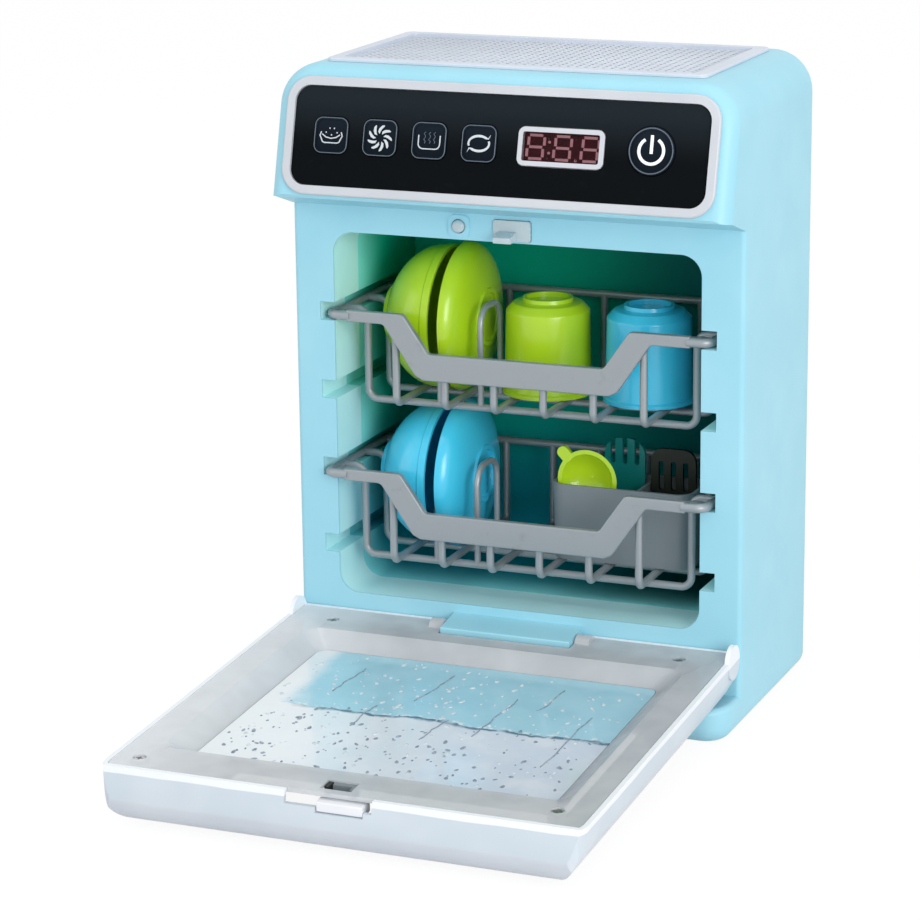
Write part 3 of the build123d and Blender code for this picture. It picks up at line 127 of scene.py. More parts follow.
class Shader:
    """Builds the node tree of one material or of the world."""

    def __init__(self, name: str, owner: Any = None) -> None:
        """Starts an empty tree.

        Args:
            name: the material's name.
            owner: a world to build for, or None for a new material.
        """
        self.material = owner or bpy.data.materials.new(name)
        self.material.use_nodes = True
        self.tree = self.material.node_tree
        self.tree.nodes.clear()

    def add(self, kind: str, settings: dict[str, Any], inputs: dict[Any, Any], out: Any = 0) -> Socket:
        """Adds any node: settings first, then the values or links of its sockets.

        Args:
            kind: the node's type.
            settings: attributes of the node; "stops" sets a ramp's (place, colour) pairs.
            inputs: socket index or name to a number, colour or Socket.
            out: index or name of the output that is returned.

        Returns:
            The chosen output.
        """
        node = self.tree.nodes.new(kind)
        for key, value in settings.items():
            if key == "stops":
                ramp = node.color_ramp.elements
                while len(ramp) < len(value):
                    ramp.new(0.5)
                for stop, (place, colour) in zip(ramp, value):
                    stop.position = place
                    stop.color = (*colour, 1.0)
            else:
                setattr(node, key, value)
        for key, value in inputs.items():
            if isinstance(value, Socket):
                self.tree.links.new(value.link, node.inputs[key])
            elif isinstance(value, tuple) and len(value) == 3 and node.inputs[key].type == "RGBA":
                node.inputs[key].default_value = (*value, 1.0)
            else:
                node.inputs[key].default_value = value
        return Socket(self, node.outputs[out])

    def place(self) -> Socket:
        """Position in the object's own frame, in metres."""
        return self.add("ShaderNodeTexCoord", {}, {}, "Object")

    def axis(self, index: int) -> Socket:
        """One coordinate in millimetres.

        Args:
            index: 0, 1 or 2 for X, Y or Z.

        Returns:
            The coordinate.
        """
        return self.add("ShaderNodeSeparateXYZ", {}, {0: self.place()}, index) * (1 / MM)

    def noise(self, size: float, detail: float = 3.0, rough: float = 0.5) -> Socket:
        """Smooth noise from 0 to 1.

        Args:
            size: size of its spots in millimetres.
            detail: number of finer layers.
            rough: strength of the finer layers.

        Returns:
            The noise value.
        """
        inputs = {"Vector": self.place(), "Scale": 1.0 / (size * MM)}
        inputs |= {"Detail": detail, "Roughness": rough}
        return self.add("ShaderNodeTexNoise", {}, inputs, "Fac")

    def cells(self, size: float) -> Socket:
        """Distance to the nearest of many scattered points, for grain.

        Args:
            size: spacing in millimetres.

        Returns:
            The distance, in spacings.
        """
        inputs = {"Vector": self.place(), "Scale": 1.0 / (size * MM)}
        return self.add("ShaderNodeTexVoronoi", {}, inputs, "Distance")

    def step(self, value: Socket, low: float, high: float) -> Socket:
        """Soft step from 0 at low to 1 at high.

        Args:
            value: the value that is stepped.
            low: where it leaves 0.
            high: where it reaches 1.

        Returns:
            The stepped value.
        """
        settings = {"interpolation_type": "SMOOTHSTEP"}
        inputs = {"Value": value, "From Min": low, "From Max": high}
        return self.add("ShaderNodeMapRange", settings, inputs)

    def blend(self, share: Any, first: Any, second: Any) -> Socket:
        """Mixes two colours.

        Args:
            share: how much of the second shows.
            first: a colour or Socket.
            second: a colour or Socket.

        Returns:
            The mixed colour.
        """
        return self.add("ShaderNodeMix", {"data_type": "RGBA"}, {0: share, 6: first, 7: second}, 2)

    def bump(self, height: Socket, depth: float) -> Socket:
        """Normal of a surface with that height.

        Args:
            height: height from 0 to 1.
            depth: full height in millimetres.

        Returns:
            The normal.
        """
        inputs = {"Height": height, "Distance": depth * MM, "Strength": 1.0}
        return self.add("ShaderNodeBump", {}, inputs)

    def flowed(self) -> Socket:
        """Share of the second colour in the flow clouds of a moulding."""
        return self.step(self.noise(38.0, 2.0), 0.35, 0.68)

    def rubbed(self, base: float) -> Socket:
        """Roughness of plastic that hands have rubbed in patches.

        Args:
            base: its middle value.

        Returns:
            The roughness.
        """
        return (self.noise(6.0, 4.0, 0.65) - 0.5) * 0.12 + base

    def scuffed(self) -> Socket:
        """What small scuff marks add to the roughness."""
        return self.step(self.noise(1.3, 5.0, 0.7), 0.62, 0.8) * 0.08

    def grained(self, size: float, depth: float) -> Socket:
        """Normal of a fine spark-eroded grain.

        Args:
            size: spacing of the grain in millimetres.
            depth: its depth in millimetres.

        Returns:
            The normal.
        """
        return self.bump(self.cells(size) + self.noise(size * 3, 2.0) * 0.6, depth)

    def surface(self, **sockets: Any) -> bpy.types.Material:
        """Ends the tree in a Principled surface.

        Args:
            sockets: values by socket name, with underscores for spaces.

        Returns:
            The finished material.
        """
        inputs = {name.replace("_", " "): value for name, value in sockets.items()}
        shell = self.add("ShaderNodeBsdfPrincipled", {}, inputs)
        self.add_output(shell)
        return self.material

    def add_output(self, shell: Socket, kind: str = "ShaderNodeOutputMaterial") -> None:
        """Links a shader to the tree's output.

        Args:
            shell: the closing shader.
            kind: type of the output node.
        """
        output = self.tree.nodes.new(kind)
        self.tree.links.new(shell.link, output.inputs["Surface"])

    def seen_plain(self) -> Socket:
        """One for rays from the camera, mirrors and glass, else zero."""
        rays = ("Is Camera Ray", "Is Glossy Ray", "Is Transmission Ray")
        eye, mirror, glass = (self.add("ShaderNodeLightPath", {}, {}, ray) for ray in rays)
        return (eye + mirror + glass) > 0.5


class Finish(Protocol):
    """What every finish offers: a name and its material."""

    name: str

    def make(self) -> bpy.types.Material:
        """Builds the material."""


@dataclass(frozen=True)
class Moulded:
    """Injection-moulded plastic with a fine spark-eroded grain and slight colour flow."""

    name: str
    colour: Colour
    shade: Colour
    roughness: float = 0.34
    grain: float = 0.55
    grain_depth: float = 0.012
    coat: float = 0.0
    coat_roughness: float = 0.12

    def make(self) -> bpy.types.Material:
        """Builds the material."""
        shader = Shader(self.name)
        return shader.surface(
            Base_Color=shader.blend(shader.flowed(), self.colour, self.shade),
            Roughness=shader.rubbed(self.roughness) + shader.scuffed(),
            Normal=shader.grained(self.grain, self.grain_depth),
            Coat_Weight=self.coat,
            Coat_Roughness=self.coat_roughness,
            IOR=PLASTIC_IOR,
        )


@dataclass(frozen=True)
class Casing:
    """Moulded cabinet shell: one blue outside, with painted light that makes the return walls round the
    mouth of the tub paler.
    """

    name: str = "shell_blue"
    colour: Colour = (0.326, 0.668, 0.800)
    flow: Colour = (0.354, 0.692, 0.820)
    # painted light: the paler colour given to the return walls round the mouth of the tub
    painted_lip_light: Colour = (0.580, 0.960, 1.000)
    roughness: float = 0.42
    lip_depths: Span = (0.2, 1.6)
    lip_halves: Span = (99.0, 100.0)
    lip_tops: Span = (234.0, 236.0)
    lip_feet: Span = (38.0, 40.0)

    def make(self) -> bpy.types.Material:
        """Builds the material."""
        shader = Shader(self.name)
        height = shader.axis(2)
        # mask of the return walls round the mouth, where painted light blends in the paler colour
        inside = shader.step(shader.axis(1) + ORIGIN_Y, *self.lip_depths)
        inside = inside * (1 - shader.step(abs(shader.axis(0)), *self.lip_halves))
        inside = inside * (1 - shader.step(height, *self.lip_tops)) * shader.step(height, *self.lip_feet)
        colour = shader.blend(shader.flowed(), self.colour, self.flow)
        return shader.surface(
            Base_Color=shader.blend(inside, colour, self.painted_lip_light),
            Roughness=shader.rubbed(self.roughness) + shader.scuffed(),
            Normal=shader.grained(0.6, 0.010),
            IOR=PLASTIC_IOR,
        )


@dataclass(frozen=True)
class Depths:
    """Moulded tub with a fine grain: painted shade darkens it from its light mouth to deep teal at its
    back, and darker still towards +X.
    """

    name: str = "tub_teal"
    mouth: Colour = (0.360, 0.980, 1.000)
    # deep, low and shade are the painted shade colours at the back of the tub; low is bluer and lies lower
    # on the back wall
    deep: Colour = (0.002, 0.500, 0.330)
    low: Colour = (0.006, 0.360, 0.460)
    shade: Colour = (0.002, 0.170, 0.170)
    heights: Span = (60.0, 150.0)
    widths: Span = (-40.0, 70.0)
    depths: Span = (12.0, 62.0)
    roughness: float = 0.5

    def make(self) -> bpy.types.Material:
        """Builds the material."""
        shader = Shader(self.name)
        # painted shade: darker with depth into the tub, and at its back darker towards +X
        depth = shader.axis(1) + ORIGIN_Y + (shader.noise(40.0, 2.0) - 0.5) * 8.0
        back = shader.blend(shader.step(shader.axis(2), *self.heights), self.low, self.deep)
        back = shader.blend(shader.step(shader.axis(0), *self.widths), back, self.shade)
        return shader.surface(
            Base_Color=shader.blend(shader.step(depth, *self.depths), self.mouth, back),
            Roughness=shader.rubbed(self.roughness),
            Normal=shader.grained(0.8, 0.012),
            Specular_IOR_Level=0.08,
        )


@dataclass(frozen=True)
class Folded:
    """White door moulding: a cooler wall, with a painted highlight along its rim and painted shade on its
    underside below the fold.
    """

    name: str = "door_white"
    # the rim colour is a painted highlight and the colour below the fold is painted shade
    rim: Colour = (0.860, 0.900, 0.940)
    wall: Colour = (0.580, 0.660, 0.730)
    painted_belly_shade: Colour = (0.590, 0.640, 0.705)
    rims: Span = (-0.9, -0.3)
    folds: Span = (-12.2, -10.8)
    roughness: float = 0.36

    def make(self) -> bpy.types.Material:
        """Builds the material."""
        shader = Shader(self.name)
        lean = math.radians(SAG)
        along, height = shader.axis(1) - HINGE[0], shader.axis(2) - HINGE[1]
        up = height * math.cos(lean) - along * math.sin(lean) + (shader.noise(30.0, 2.0) - 0.5) * 1.2
        colour = shader.blend(shader.step(up, *self.folds), self.painted_belly_shade, self.wall)
        colour = shader.blend(shader.step(up, *self.rims), colour, self.rim)
        # random pale clouds in the rim colour: tone variation of the moulding
        cloud = shader.step(shader.noise(38.0, 2.0), 0.4, 0.8) * 0.2
        return shader.surface(
            Base_Color=shader.blend(cloud, colour, self.rim),
            Roughness=shader.rubbed(self.roughness),
            Normal=shader.grained(0.6, 0.008),
            IOR=PLASTIC_IOR,
        )


@dataclass(frozen=True)
class Clear:
    """Translucent moulding: cloudy where it is thick, with flow lines, and painted light that makes it
    paler towards -X.
    """

    name: str
    colour: Colour
    cloud: Colour
    alpha: float = 0.6
    roughness: float = 0.2
    # pale: the painted light colour towards -X
    pale: Colour = (0.90, 0.94, 0.98)

    def make(self) -> bpy.types.Material:
        """Builds the material."""
        shader = Shader(self.name)
        patch = shader.step(shader.noise(24.0, 2.0), 0.3, 0.72)
        lines = shader.noise(3.5, 2.0)
        colour = shader.blend(patch * 0.5, self.colour, self.cloud)
        # painted light: blends towards the pale colour towards -X
        side = shader.step(shader.axis(0) + shader.noise(30.0) * 20.0, -40.0, -100.0)
        return shader.surface(
            Base_Color=shader.blend(side, colour, self.pale),
            Alpha=self.alpha + (patch - 0.5) * 0.08,
            Roughness=self.roughness + (lines - 0.5) * 0.16,
            Normal=shader.bump(lines + shader.noise(11.0, 2.0), 0.05),
            IOR=1.5,
            Specular_IOR_Level=0.6,
        )


@dataclass(frozen=True)
class WetWindow:
    """Window film: a pale field, lighter towards -X from painted light, a blue water band and a dark wavy
    shoreline.
    """

    name: str = "window_film"
    band_near: float = -24.0
    band_far: float = -94.5
    band_left: float = -74.0
    painted_light_pale: Colour = (0.90, 0.97, 1.0)
    painted_shade_pale: Colour = (0.66, 0.76, 0.88)
    misty: Colour = (0.93, 0.96, 1.0)
    ripple: Colour = (0.34, 0.66, 0.80)
    shallow: Colour = (0.52, 0.82, 0.94)
    froth: Colour = (0.92, 0.97, 1.0)
    shoreline: Colour = (0.11, 0.20, 0.28)

    def make(self) -> bpy.types.Material:
        """Builds the material."""
        shader = Shader(self.name)
        across = shader.axis(0)
        along = shader.axis(1) - HINGE[0]
        wave = (shader.noise(26.0, 3.0, 0.6) - 0.5) * 12.0 + (shader.noise(5.0, 2.0) - 0.5) * 4.0
        reach = along + wave
        water = shader.step(reach, self.band_far - 0.8, self.band_far + 0.8)
        water = water * (1 - shader.step(along + wave * 0.3, self.band_near - 1.0, self.band_near + 1.0))
        water = water * shader.step(across + wave, self.band_left - 3.0, self.band_left + 7.0)
        shore = shader.step(reach, self.band_far - 2.6, self.band_far - 0.6)
        shore = shore * (1 - shader.step(reach, self.band_far + 0.2, self.band_far + 1.4))
        shore = shore * shader.step(across + wave, self.band_left, self.band_left + 25.0)
        foam = shader.step(reach, self.band_far + 0.6, self.band_far + 1.4)
        foam = foam * (1 - shader.step(reach, self.band_far + 1.8, self.band_far + 4.2))
        foam = foam * shader.step(shader.noise(4.0, 3.0), 0.48, 0.6)
        # painted light: the pale field goes from the lighter colour at -X to the darker one at +X
        painted_light_across = shader.step(across + shader.noise(30.0) * 30.0, -85.0, 95.0)
        pale = shader.blend(painted_light_across, self.painted_light_pale, self.painted_shade_pale)
        mist = shader.step(shader.noise(20.0, 4.0), 0.42, 0.7)
        pale = shader.blend(mist * 0.45, pale, self.misty)
        deep = shader.blend(shader.noise(14.0, 3.0), self.ripple, self.shallow)
        colour = shader.blend(water, pale, deep)
        colour = shader.blend(foam * 0.8, colour, self.froth)
        broken = shore * shader.step(shader.noise(9.0), 0.3, 0.55)
        return shader.surface(
            Base_Color=shader.blend(broken, colour, self.shoreline),
            Alpha=0.9,
            Roughness=0.12 + shader.noise(8.0, 3.0) * 0.12,
            Normal=shader.bump(shader.noise(7.0, 3.0), 0.06),
            Coat_Weight=0.4,
        )


@dataclass(frozen=True)
class Plated:
    """Metal-look finish: silver lacquer or bare steel, with fine directional lines."""

    name: str
    colour: Colour
    roughness: float = 0.32
    metallic: float = 0.55
    line: float = 0.6

    def make(self) -> bpy.types.Material:
        """Builds the material."""
        shader = Shader(self.name)
        fleck = shader.noise(self.line, 3.0, 0.7)
        worn = shader.step(shader.noise(9.0, 4.0, 0.7), 0.58, 0.75)
        dull = tuple(c * 0.82 for c in self.colour)
        colour = shader.blend(worn * 0.6 + fleck * 0.2, self.colour, dull)
        rough = self.roughness + (fleck - 0.5) * 0.14 + worn * 0.08
        normal = shader.bump(fleck, 0.01)
        return shader.surface(Base_Color=colour, Metallic=self.metallic, Roughness=rough, Normal=normal)


@dataclass(frozen=True)
class Film:
    """Glossy printed film of the panel, with faint fingerprints and a painted sheen that lightens it
    towards the top.
    """

    name: str
    colour: Colour
    # edge: the painted sheen colour towards the top, and the colour of the fingerprints
    edge: Colour
    roughness: float = 0.14
    middle_z: float = 268.4

    def make(self) -> bpy.types.Material:
        """Builds the material."""
        shader = Shader(self.name)
        # painted sheen: blends towards the edge colour towards the top; the fingerprints take the same
        # colour
        rise = shader.step(shader.axis(2) - self.middle_z, -6.0, 20.0)
        print_marks = shader.step(shader.noise(4.0, 4.0, 0.7), 0.55, 0.78)
        colour = shader.blend(rise * 0.8 + print_marks * 0.15, self.colour, self.edge)
        rough = self.roughness + print_marks * 0.12 + shader.noise(1.1, 3.0) * 0.04
        normal = shader.bump(shader.noise(12.0, 2.0), 0.03)
        return shader.surface(Base_Color=colour, Roughness=rough, Normal=normal, Specular_IOR_Level=0.035)


@dataclass(frozen=True)
class PaintedGlowMark:
    """Printed marks and edge strokes on the panel, brightened by an emission that is a painted glow, not a
    lamp.
    """

    name: str
    colour: Colour
    glow: float = 0.0
    roughness: float = 0.4

    def make(self) -> bpy.types.Material:
        """Builds the material."""
        shader = Shader(self.name)
        speck = shader.noise(0.5, 3.0, 0.7)
        dim = tuple(c * 0.8 for c in self.colour)
        colour = shader.blend(shader.step(speck, 0.35, 0.75), self.colour, dim)
        rough = self.roughness + (speck - 0.5) * 0.15
        return shader.surface(
            Base_Color=colour, Roughness=rough, Emission_Color=colour, Emission_Strength=self.glow
        )


@dataclass(frozen=True)
class Lens:
    """Tinted window of the display."""

    name: str = "display_lens"
    colour: Colour = (0.020, 0.001, 0.003)
    edge: Colour = (0.045, 0.004, 0.008)

    def make(self) -> bpy.types.Material:
        """Builds the material."""
        shader = Shader(self.name)
        fade = shader.noise(5.0, 2.0)
        return shader.surface(
            Base_Color=shader.blend(fade, self.colour, self.edge),
            Alpha=0.3 + fade * 0.1,
            Roughness=0.2 + fade * 0.05,
            Specular_IOR_Level=0.05,
        )


@dataclass(frozen=True)
class Wrap:
    """Printed wrap of a dry cell: a dark body with a metal-tone band at one end."""

    name: str = "cell_wrap"
    body: Colour = (0.03, 0.04, 0.06)
    band: Colour = (0.62, 0.42, 0.16)
    speck: Colour = (0.4, 0.4, 0.42)
    band_x: float = -36.0

    def make(self) -> bpy.types.Material:
        """Builds the material."""
        shader = Shader(self.name)
        plated = shader.step(shader.axis(0), self.band_x - 0.4, self.band_x + 0.4)
        grit = shader.noise(0.8, 3.0)
        colour = shader.blend(plated, self.body, self.band)
        return shader.surface(
            Base_Color=shader.blend(grit * 0.2, colour, self.speck),
            Metallic=plated * 0.6,
            Roughness=0.3 + grit * 0.1,
            Coat_Weight=0.3,
        )


@dataclass(frozen=True)
class Droplet:
    """Water drop on the film, its rim and middle colours a painted highlight and painted shade standing
    for the light the water bends.
    """

    name: str
    rim: Colour
    middle: Colour

    def make(self) -> bpy.types.Material:
        """Builds the material."""
        shader = Shader(self.name)
        patch = shader.noise(2.0, 2.0)
        return shader.surface(
            Base_Color=shader.blend(shader.step(patch, 0.35, 0.65), self.middle, self.rim),
            Alpha=0.55 + patch * 0.3,
            Roughness=0.05 + patch * 0.05,
            IOR=1.33,
        )


@dataclass
class Finishes:
    """Every finish of the toy, made once and then looked up by name."""

    made: dict[str, bpy.types.Material] = field(default_factory=dict)

    def stock(self) -> list[Finish]:
        """The list of finishes."""
        return [
            Casing(),
            Depths(),
            Moulded("cover_blue", (0.320, 0.640, 0.740), (0.360, 0.680, 0.780), 0.55, 0.9, 0.03),
            Moulded("tray_white", (0.610, 0.670, 0.760), (0.650, 0.710, 0.800), 0.45, 0.7, 0.012),
            Moulded("bezel_white", (0.560, 0.590, 0.640), (0.600, 0.630, 0.680), 0.3, 0.5, 0.006),
            Folded(),
            Moulded("latch_white", (0.800, 0.830, 0.880), (0.860, 0.880, 0.920), 0.35, 0.5, 0.006),
            Clear("liner_clear", (0.610, 0.645, 0.680), (0.720, 0.750, 0.780), 0.66, 0.22),
            Clear("keeper_clear", (0.560, 0.660, 0.700), (0.640, 0.740, 0.780), 0.88, 0.25),
            WetWindow(),
            Film("panel_film", (0.0035, 0.0048, 0.006), (0.017, 0.025, 0.032)),
            Film("button_film", (0.006, 0.010, 0.016), (0.016, 0.024, 0.036), 0.22),
            # white print with a painted glow
            PaintedGlowMark("icon_white", (0.60, 0.66, 0.70), 0.12),
            # steel-blue painted highlight of the bevelled button edges, with a faint painted glow; also
            # the colour of the faint steam print and the display dots
            PaintedGlowMark("bevel_glint_and_print", (0.105, 0.140, 0.180), 0.03, 0.3),
            # white printed power sign with a painted glow
            PaintedGlowMark("power_sign_painted_glow", (0.90, 0.93, 0.96), 0.35),
            # dark digit segments with a faint painted glow
            PaintedGlowMark("digit_core", (0.030, 0.002, 0.005), 0.1),
            # painted highlight and painted glow on the pink edges of the dark digits
            PaintedGlowMark("digit_edge_glint", (0.660, 0.330, 0.370), 0.7),
            Lens(),
            Plated("rack_silver", (0.330, 0.365, 0.390), 0.36, 0.35, 0.5),
            Plated("steel", (0.560, 0.560, 0.570), 0.28, 1.0, 0.4),
            Moulded("dish_green", (0.440, 0.690, 0.015), (0.480, 0.720, 0.020), 0.24, 0.9, 0.006, 0.35),
            Moulded("dish_blue", (0.045, 0.560, 0.840), (0.060, 0.600, 0.870), 0.24, 0.9, 0.006, 0.35),
            Moulded("box_grey", (0.185, 0.222, 0.243), (0.210, 0.248, 0.270), 0.48, 0.6, 0.012),
            # the fork and ladle are real pieces; their very dark teal and near-black colours are painted
            # shade of the space behind the cutlery box
            Moulded("tool_teal", (0.004, 0.180, 0.180), (0.005, 0.210, 0.200), 0.35, 0.8, 0.006),
            Moulded("tool_dark", (0.004, 0.010, 0.006), (0.007, 0.014, 0.008), 0.5, 0.8, 0.006),
            Moulded("dark_plastic", (0.010, 0.011, 0.013), (0.016, 0.017, 0.019), 0.5, 0.6, 0.012),
            Moulded("board_green", (0.010, 0.100, 0.030), (0.014, 0.130, 0.040), 0.35, 1.6, 0.02, 0.3),
            Wrap(),
            # pale drops carry a painted highlight, dark drops and streaks painted shade, for the light the
            # water bends
            Droplet("drop_pale", (0.62, 0.74, 0.80), (0.86, 0.92, 0.95)),
            Droplet("drop_dark", (0.20, 0.26, 0.34), (0.42, 0.48, 0.56)),
        ]

    def prepare(self) -> None:
        """Makes every finish."""
        for finish in self.stock():
            self.made[finish.name] = finish.make()
            log.info("finish %s", finish.name)

    def dress(self, piece: bpy.types.Object, name: str) -> None:
        """Gives a piece one finish.

        Args:
            piece: the object to dress.
            name: the finish's name.
        """
        piece.data.materials.clear()
        piece.data.materials.append(self.made[name])


@dataclass(frozen=True)
class Fit:
    """How a piece goes on: its finish, its CAD body and the record's slot."""

    finish: str
    body: str
    slot: str


@dataclass
class Workshop:
    """Makes meshes and curves and hangs them on the CAD bodies."""

    finishes: Finishes

    @staticmethod
    def skirt(shape: bmesh.types.BMesh, low: Sequence[Any], high: Sequence[Any]) -> None:
        """Adds the side faces between two rings of vertices.

        Args:
            shape: the bmesh that takes them.
            low: the lower ring.
            high: the upper ring, in the same order.
        """
        for i, corner in enumerate(low):
            j = (i + 1) % len(low)
            shape.faces.new((corner, low[j], high[j], high[i]))

    def mesh(self, name: str, shape: bmesh.types.BMesh, fit: Fit, smooth: bool = True) -> None:
        """Turns a bmesh into a dressed piece.

        Args:
            name: the piece's name.
            shape: the bmesh, in metres; it is freed.
            fit: its finish, body and slot.
            smooth: whether its faces are shaded smooth.
        """
        data = bpy.data.meshes.new(name)
        for face in shape.faces:
            face.smooth = smooth
        shape.to_mesh(data)
        shape.free()
        self.hang(bpy.data.objects.new(name, data), fit)

    def hang(self, piece: bpy.types.Object, fit: Fit) -> None:
        """Links a piece, dresses it and lets it ride on a body.

        Args:
            piece: the new object.
            fit: its finish, body and slot.
        """
        bpy.context.scene.collection.objects.link(piece)
        self.finishes.dress(piece, fit.finish)
        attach(piece, fit.body)
        log.info("piece %s on %s", piece.name, fit.body)

    def wires(self, name: str, lines: Iterable[Line], radius: float, fit: Fit) -> None:
        """Round strokes along several lines.

        Args:
            name: the piece's name.
            lines: pairs of points in metres and whether the line is closed.
            radius: stroke radius in millimetres.
            fit: its finish, body and slot.
        """
        data = bpy.data.curves.new(name, "CURVE")
        data.dimensions = "3D"
        data.bevel_depth = radius * MM
        data.bevel_resolution = 2
        data.use_fill_caps = True
        for points, closed in lines:
            spline = data.splines.new("POLY")
            spline.points.add(len(points) - 1)
            for spot, point in zip(spline.points, points):
                spot.co = (*point, 1.0)
            spline.use_cyclic_u = closed
        self.hang(bpy.data.objects.new(name, data), fit)

    def smooth_node(self, name: str, finish: str, angle: float = 32.0) -> None:
        """Dresses a CAD node and shades it smooth up to an angle.

        Args:
            name: the CAD node.
            finish: name of its finish.
            angle: edges sharper than this stay crisp, in degrees.
        """
        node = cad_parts[name]
        self.finishes.dress(node, finish)
        for face in node.data.polygons:
            face.use_smooth = True
        weld = node.modifiers.new("weld", "WELD")
        weld.merge_threshold = 1e-6
        split = node.modifiers.new("edges", "EDGE_SPLIT")
        split.split_angle = math.radians(angle)
        log.info("node %s in %s", name, finish)


@dataclass
class Cabinet:
    """Shell, tub, covers, lintel pieces and what is inside."""

    shop: Workshop

    def build(self) -> None:
        """Dresses every node."""
        finishes = {
            "cabinet_shell": "shell_blue",
            "tub_liner": "tub_teal",
            "rear_cover": "cover_blue",
            "base_plate": "cover_blue",
            "battery_cover": "cover_blue",
            "case_screws": "steel",
            "battery_screw": "steel",
            "batteries": "cell_wrap",
            "battery_contacts": "steel",
            "speaker": "dark_plastic",
            "latch_keeper": "keeper_clear",
            "door_sensor_button": "keeper_clear",
            "circuit_board": "board_green",
            "board_screws": "steel",
        }
        for node, finish in finishes.items():
            self.shop.smooth_node(node, finish)


@dataclass
class TopTray:
    """White tray in the top, with a fine mat of ribs on its floor."""

    shop: Workshop
    half_width: float = 84.0
    front: float = 6.5
    back: float = 88.0
    floor: float = 298.05
    slab: float = 1.5
    height: float = 0.22
    rib: float = 1.5
    columns: int = 40
    rows: int = 18
    margin: float = 3.0
    taper: float = 0.18

    def build(self) -> None:
        """Dresses the tray and lays the mat."""
        self.shop.smooth_node("top_tray", "tray_white")
        shape = bmesh.new()
        middle, deep = (self.front + self.back) / 2, self.back - self.front
        wide = 2 * self.half_width
        slab = (wide + self.margin, deep + self.margin)
        low = self.floor + self.slab
        high = low + self.height
        self.bar(shape, (0.0, middle), slab, self.floor, low)
        for step in range(self.columns + 1):
            x = -self.half_width + wide * step / self.columns
            self.bar(shape, (x, middle), (self.rib, deep), low, high)
        for step in range(self.rows + 1):
            y = self.front + deep * step / self.rows
            self.bar(shape, (0.0, y), (wide, self.rib), low, high)
        self.shop.mesh("tray_mat", shape, Fit("tray_white", "cabinet", "white_plastic"))

    def bar(self, shape: bmesh.types.BMesh, centre: Offset, size: Offset, low: float, high: float) -> None:
        """Adds one rib or slab with a narrower top.

        Args:
            shape: the bmesh that takes it.
            centre: its middle across, and behind the recessed face.
            size: its size across and from front to back.
            low: height of its underside.
            high: height of its top.
        """
        x, y = centre
        wide, deep = size
        rings = []
        for z, inset in ((low, 0.0), (high, self.taper)):
            half_x, half_y = wide / 2 - inset, deep / 2 - inset
            corners = ((-half_x, -half_y), (half_x, -half_y), (half_x, half_y), (-half_x, half_y))
            spots = [Vector((x + a, y - ORIGIN_Y + b, z)) * MM for a, b in corners]
            rings.append([shape.verts.new(spot) for spot in spots])
        shape.faces.new(rings[1])
        self.shop.skirt(shape, rings[0], rings[1])


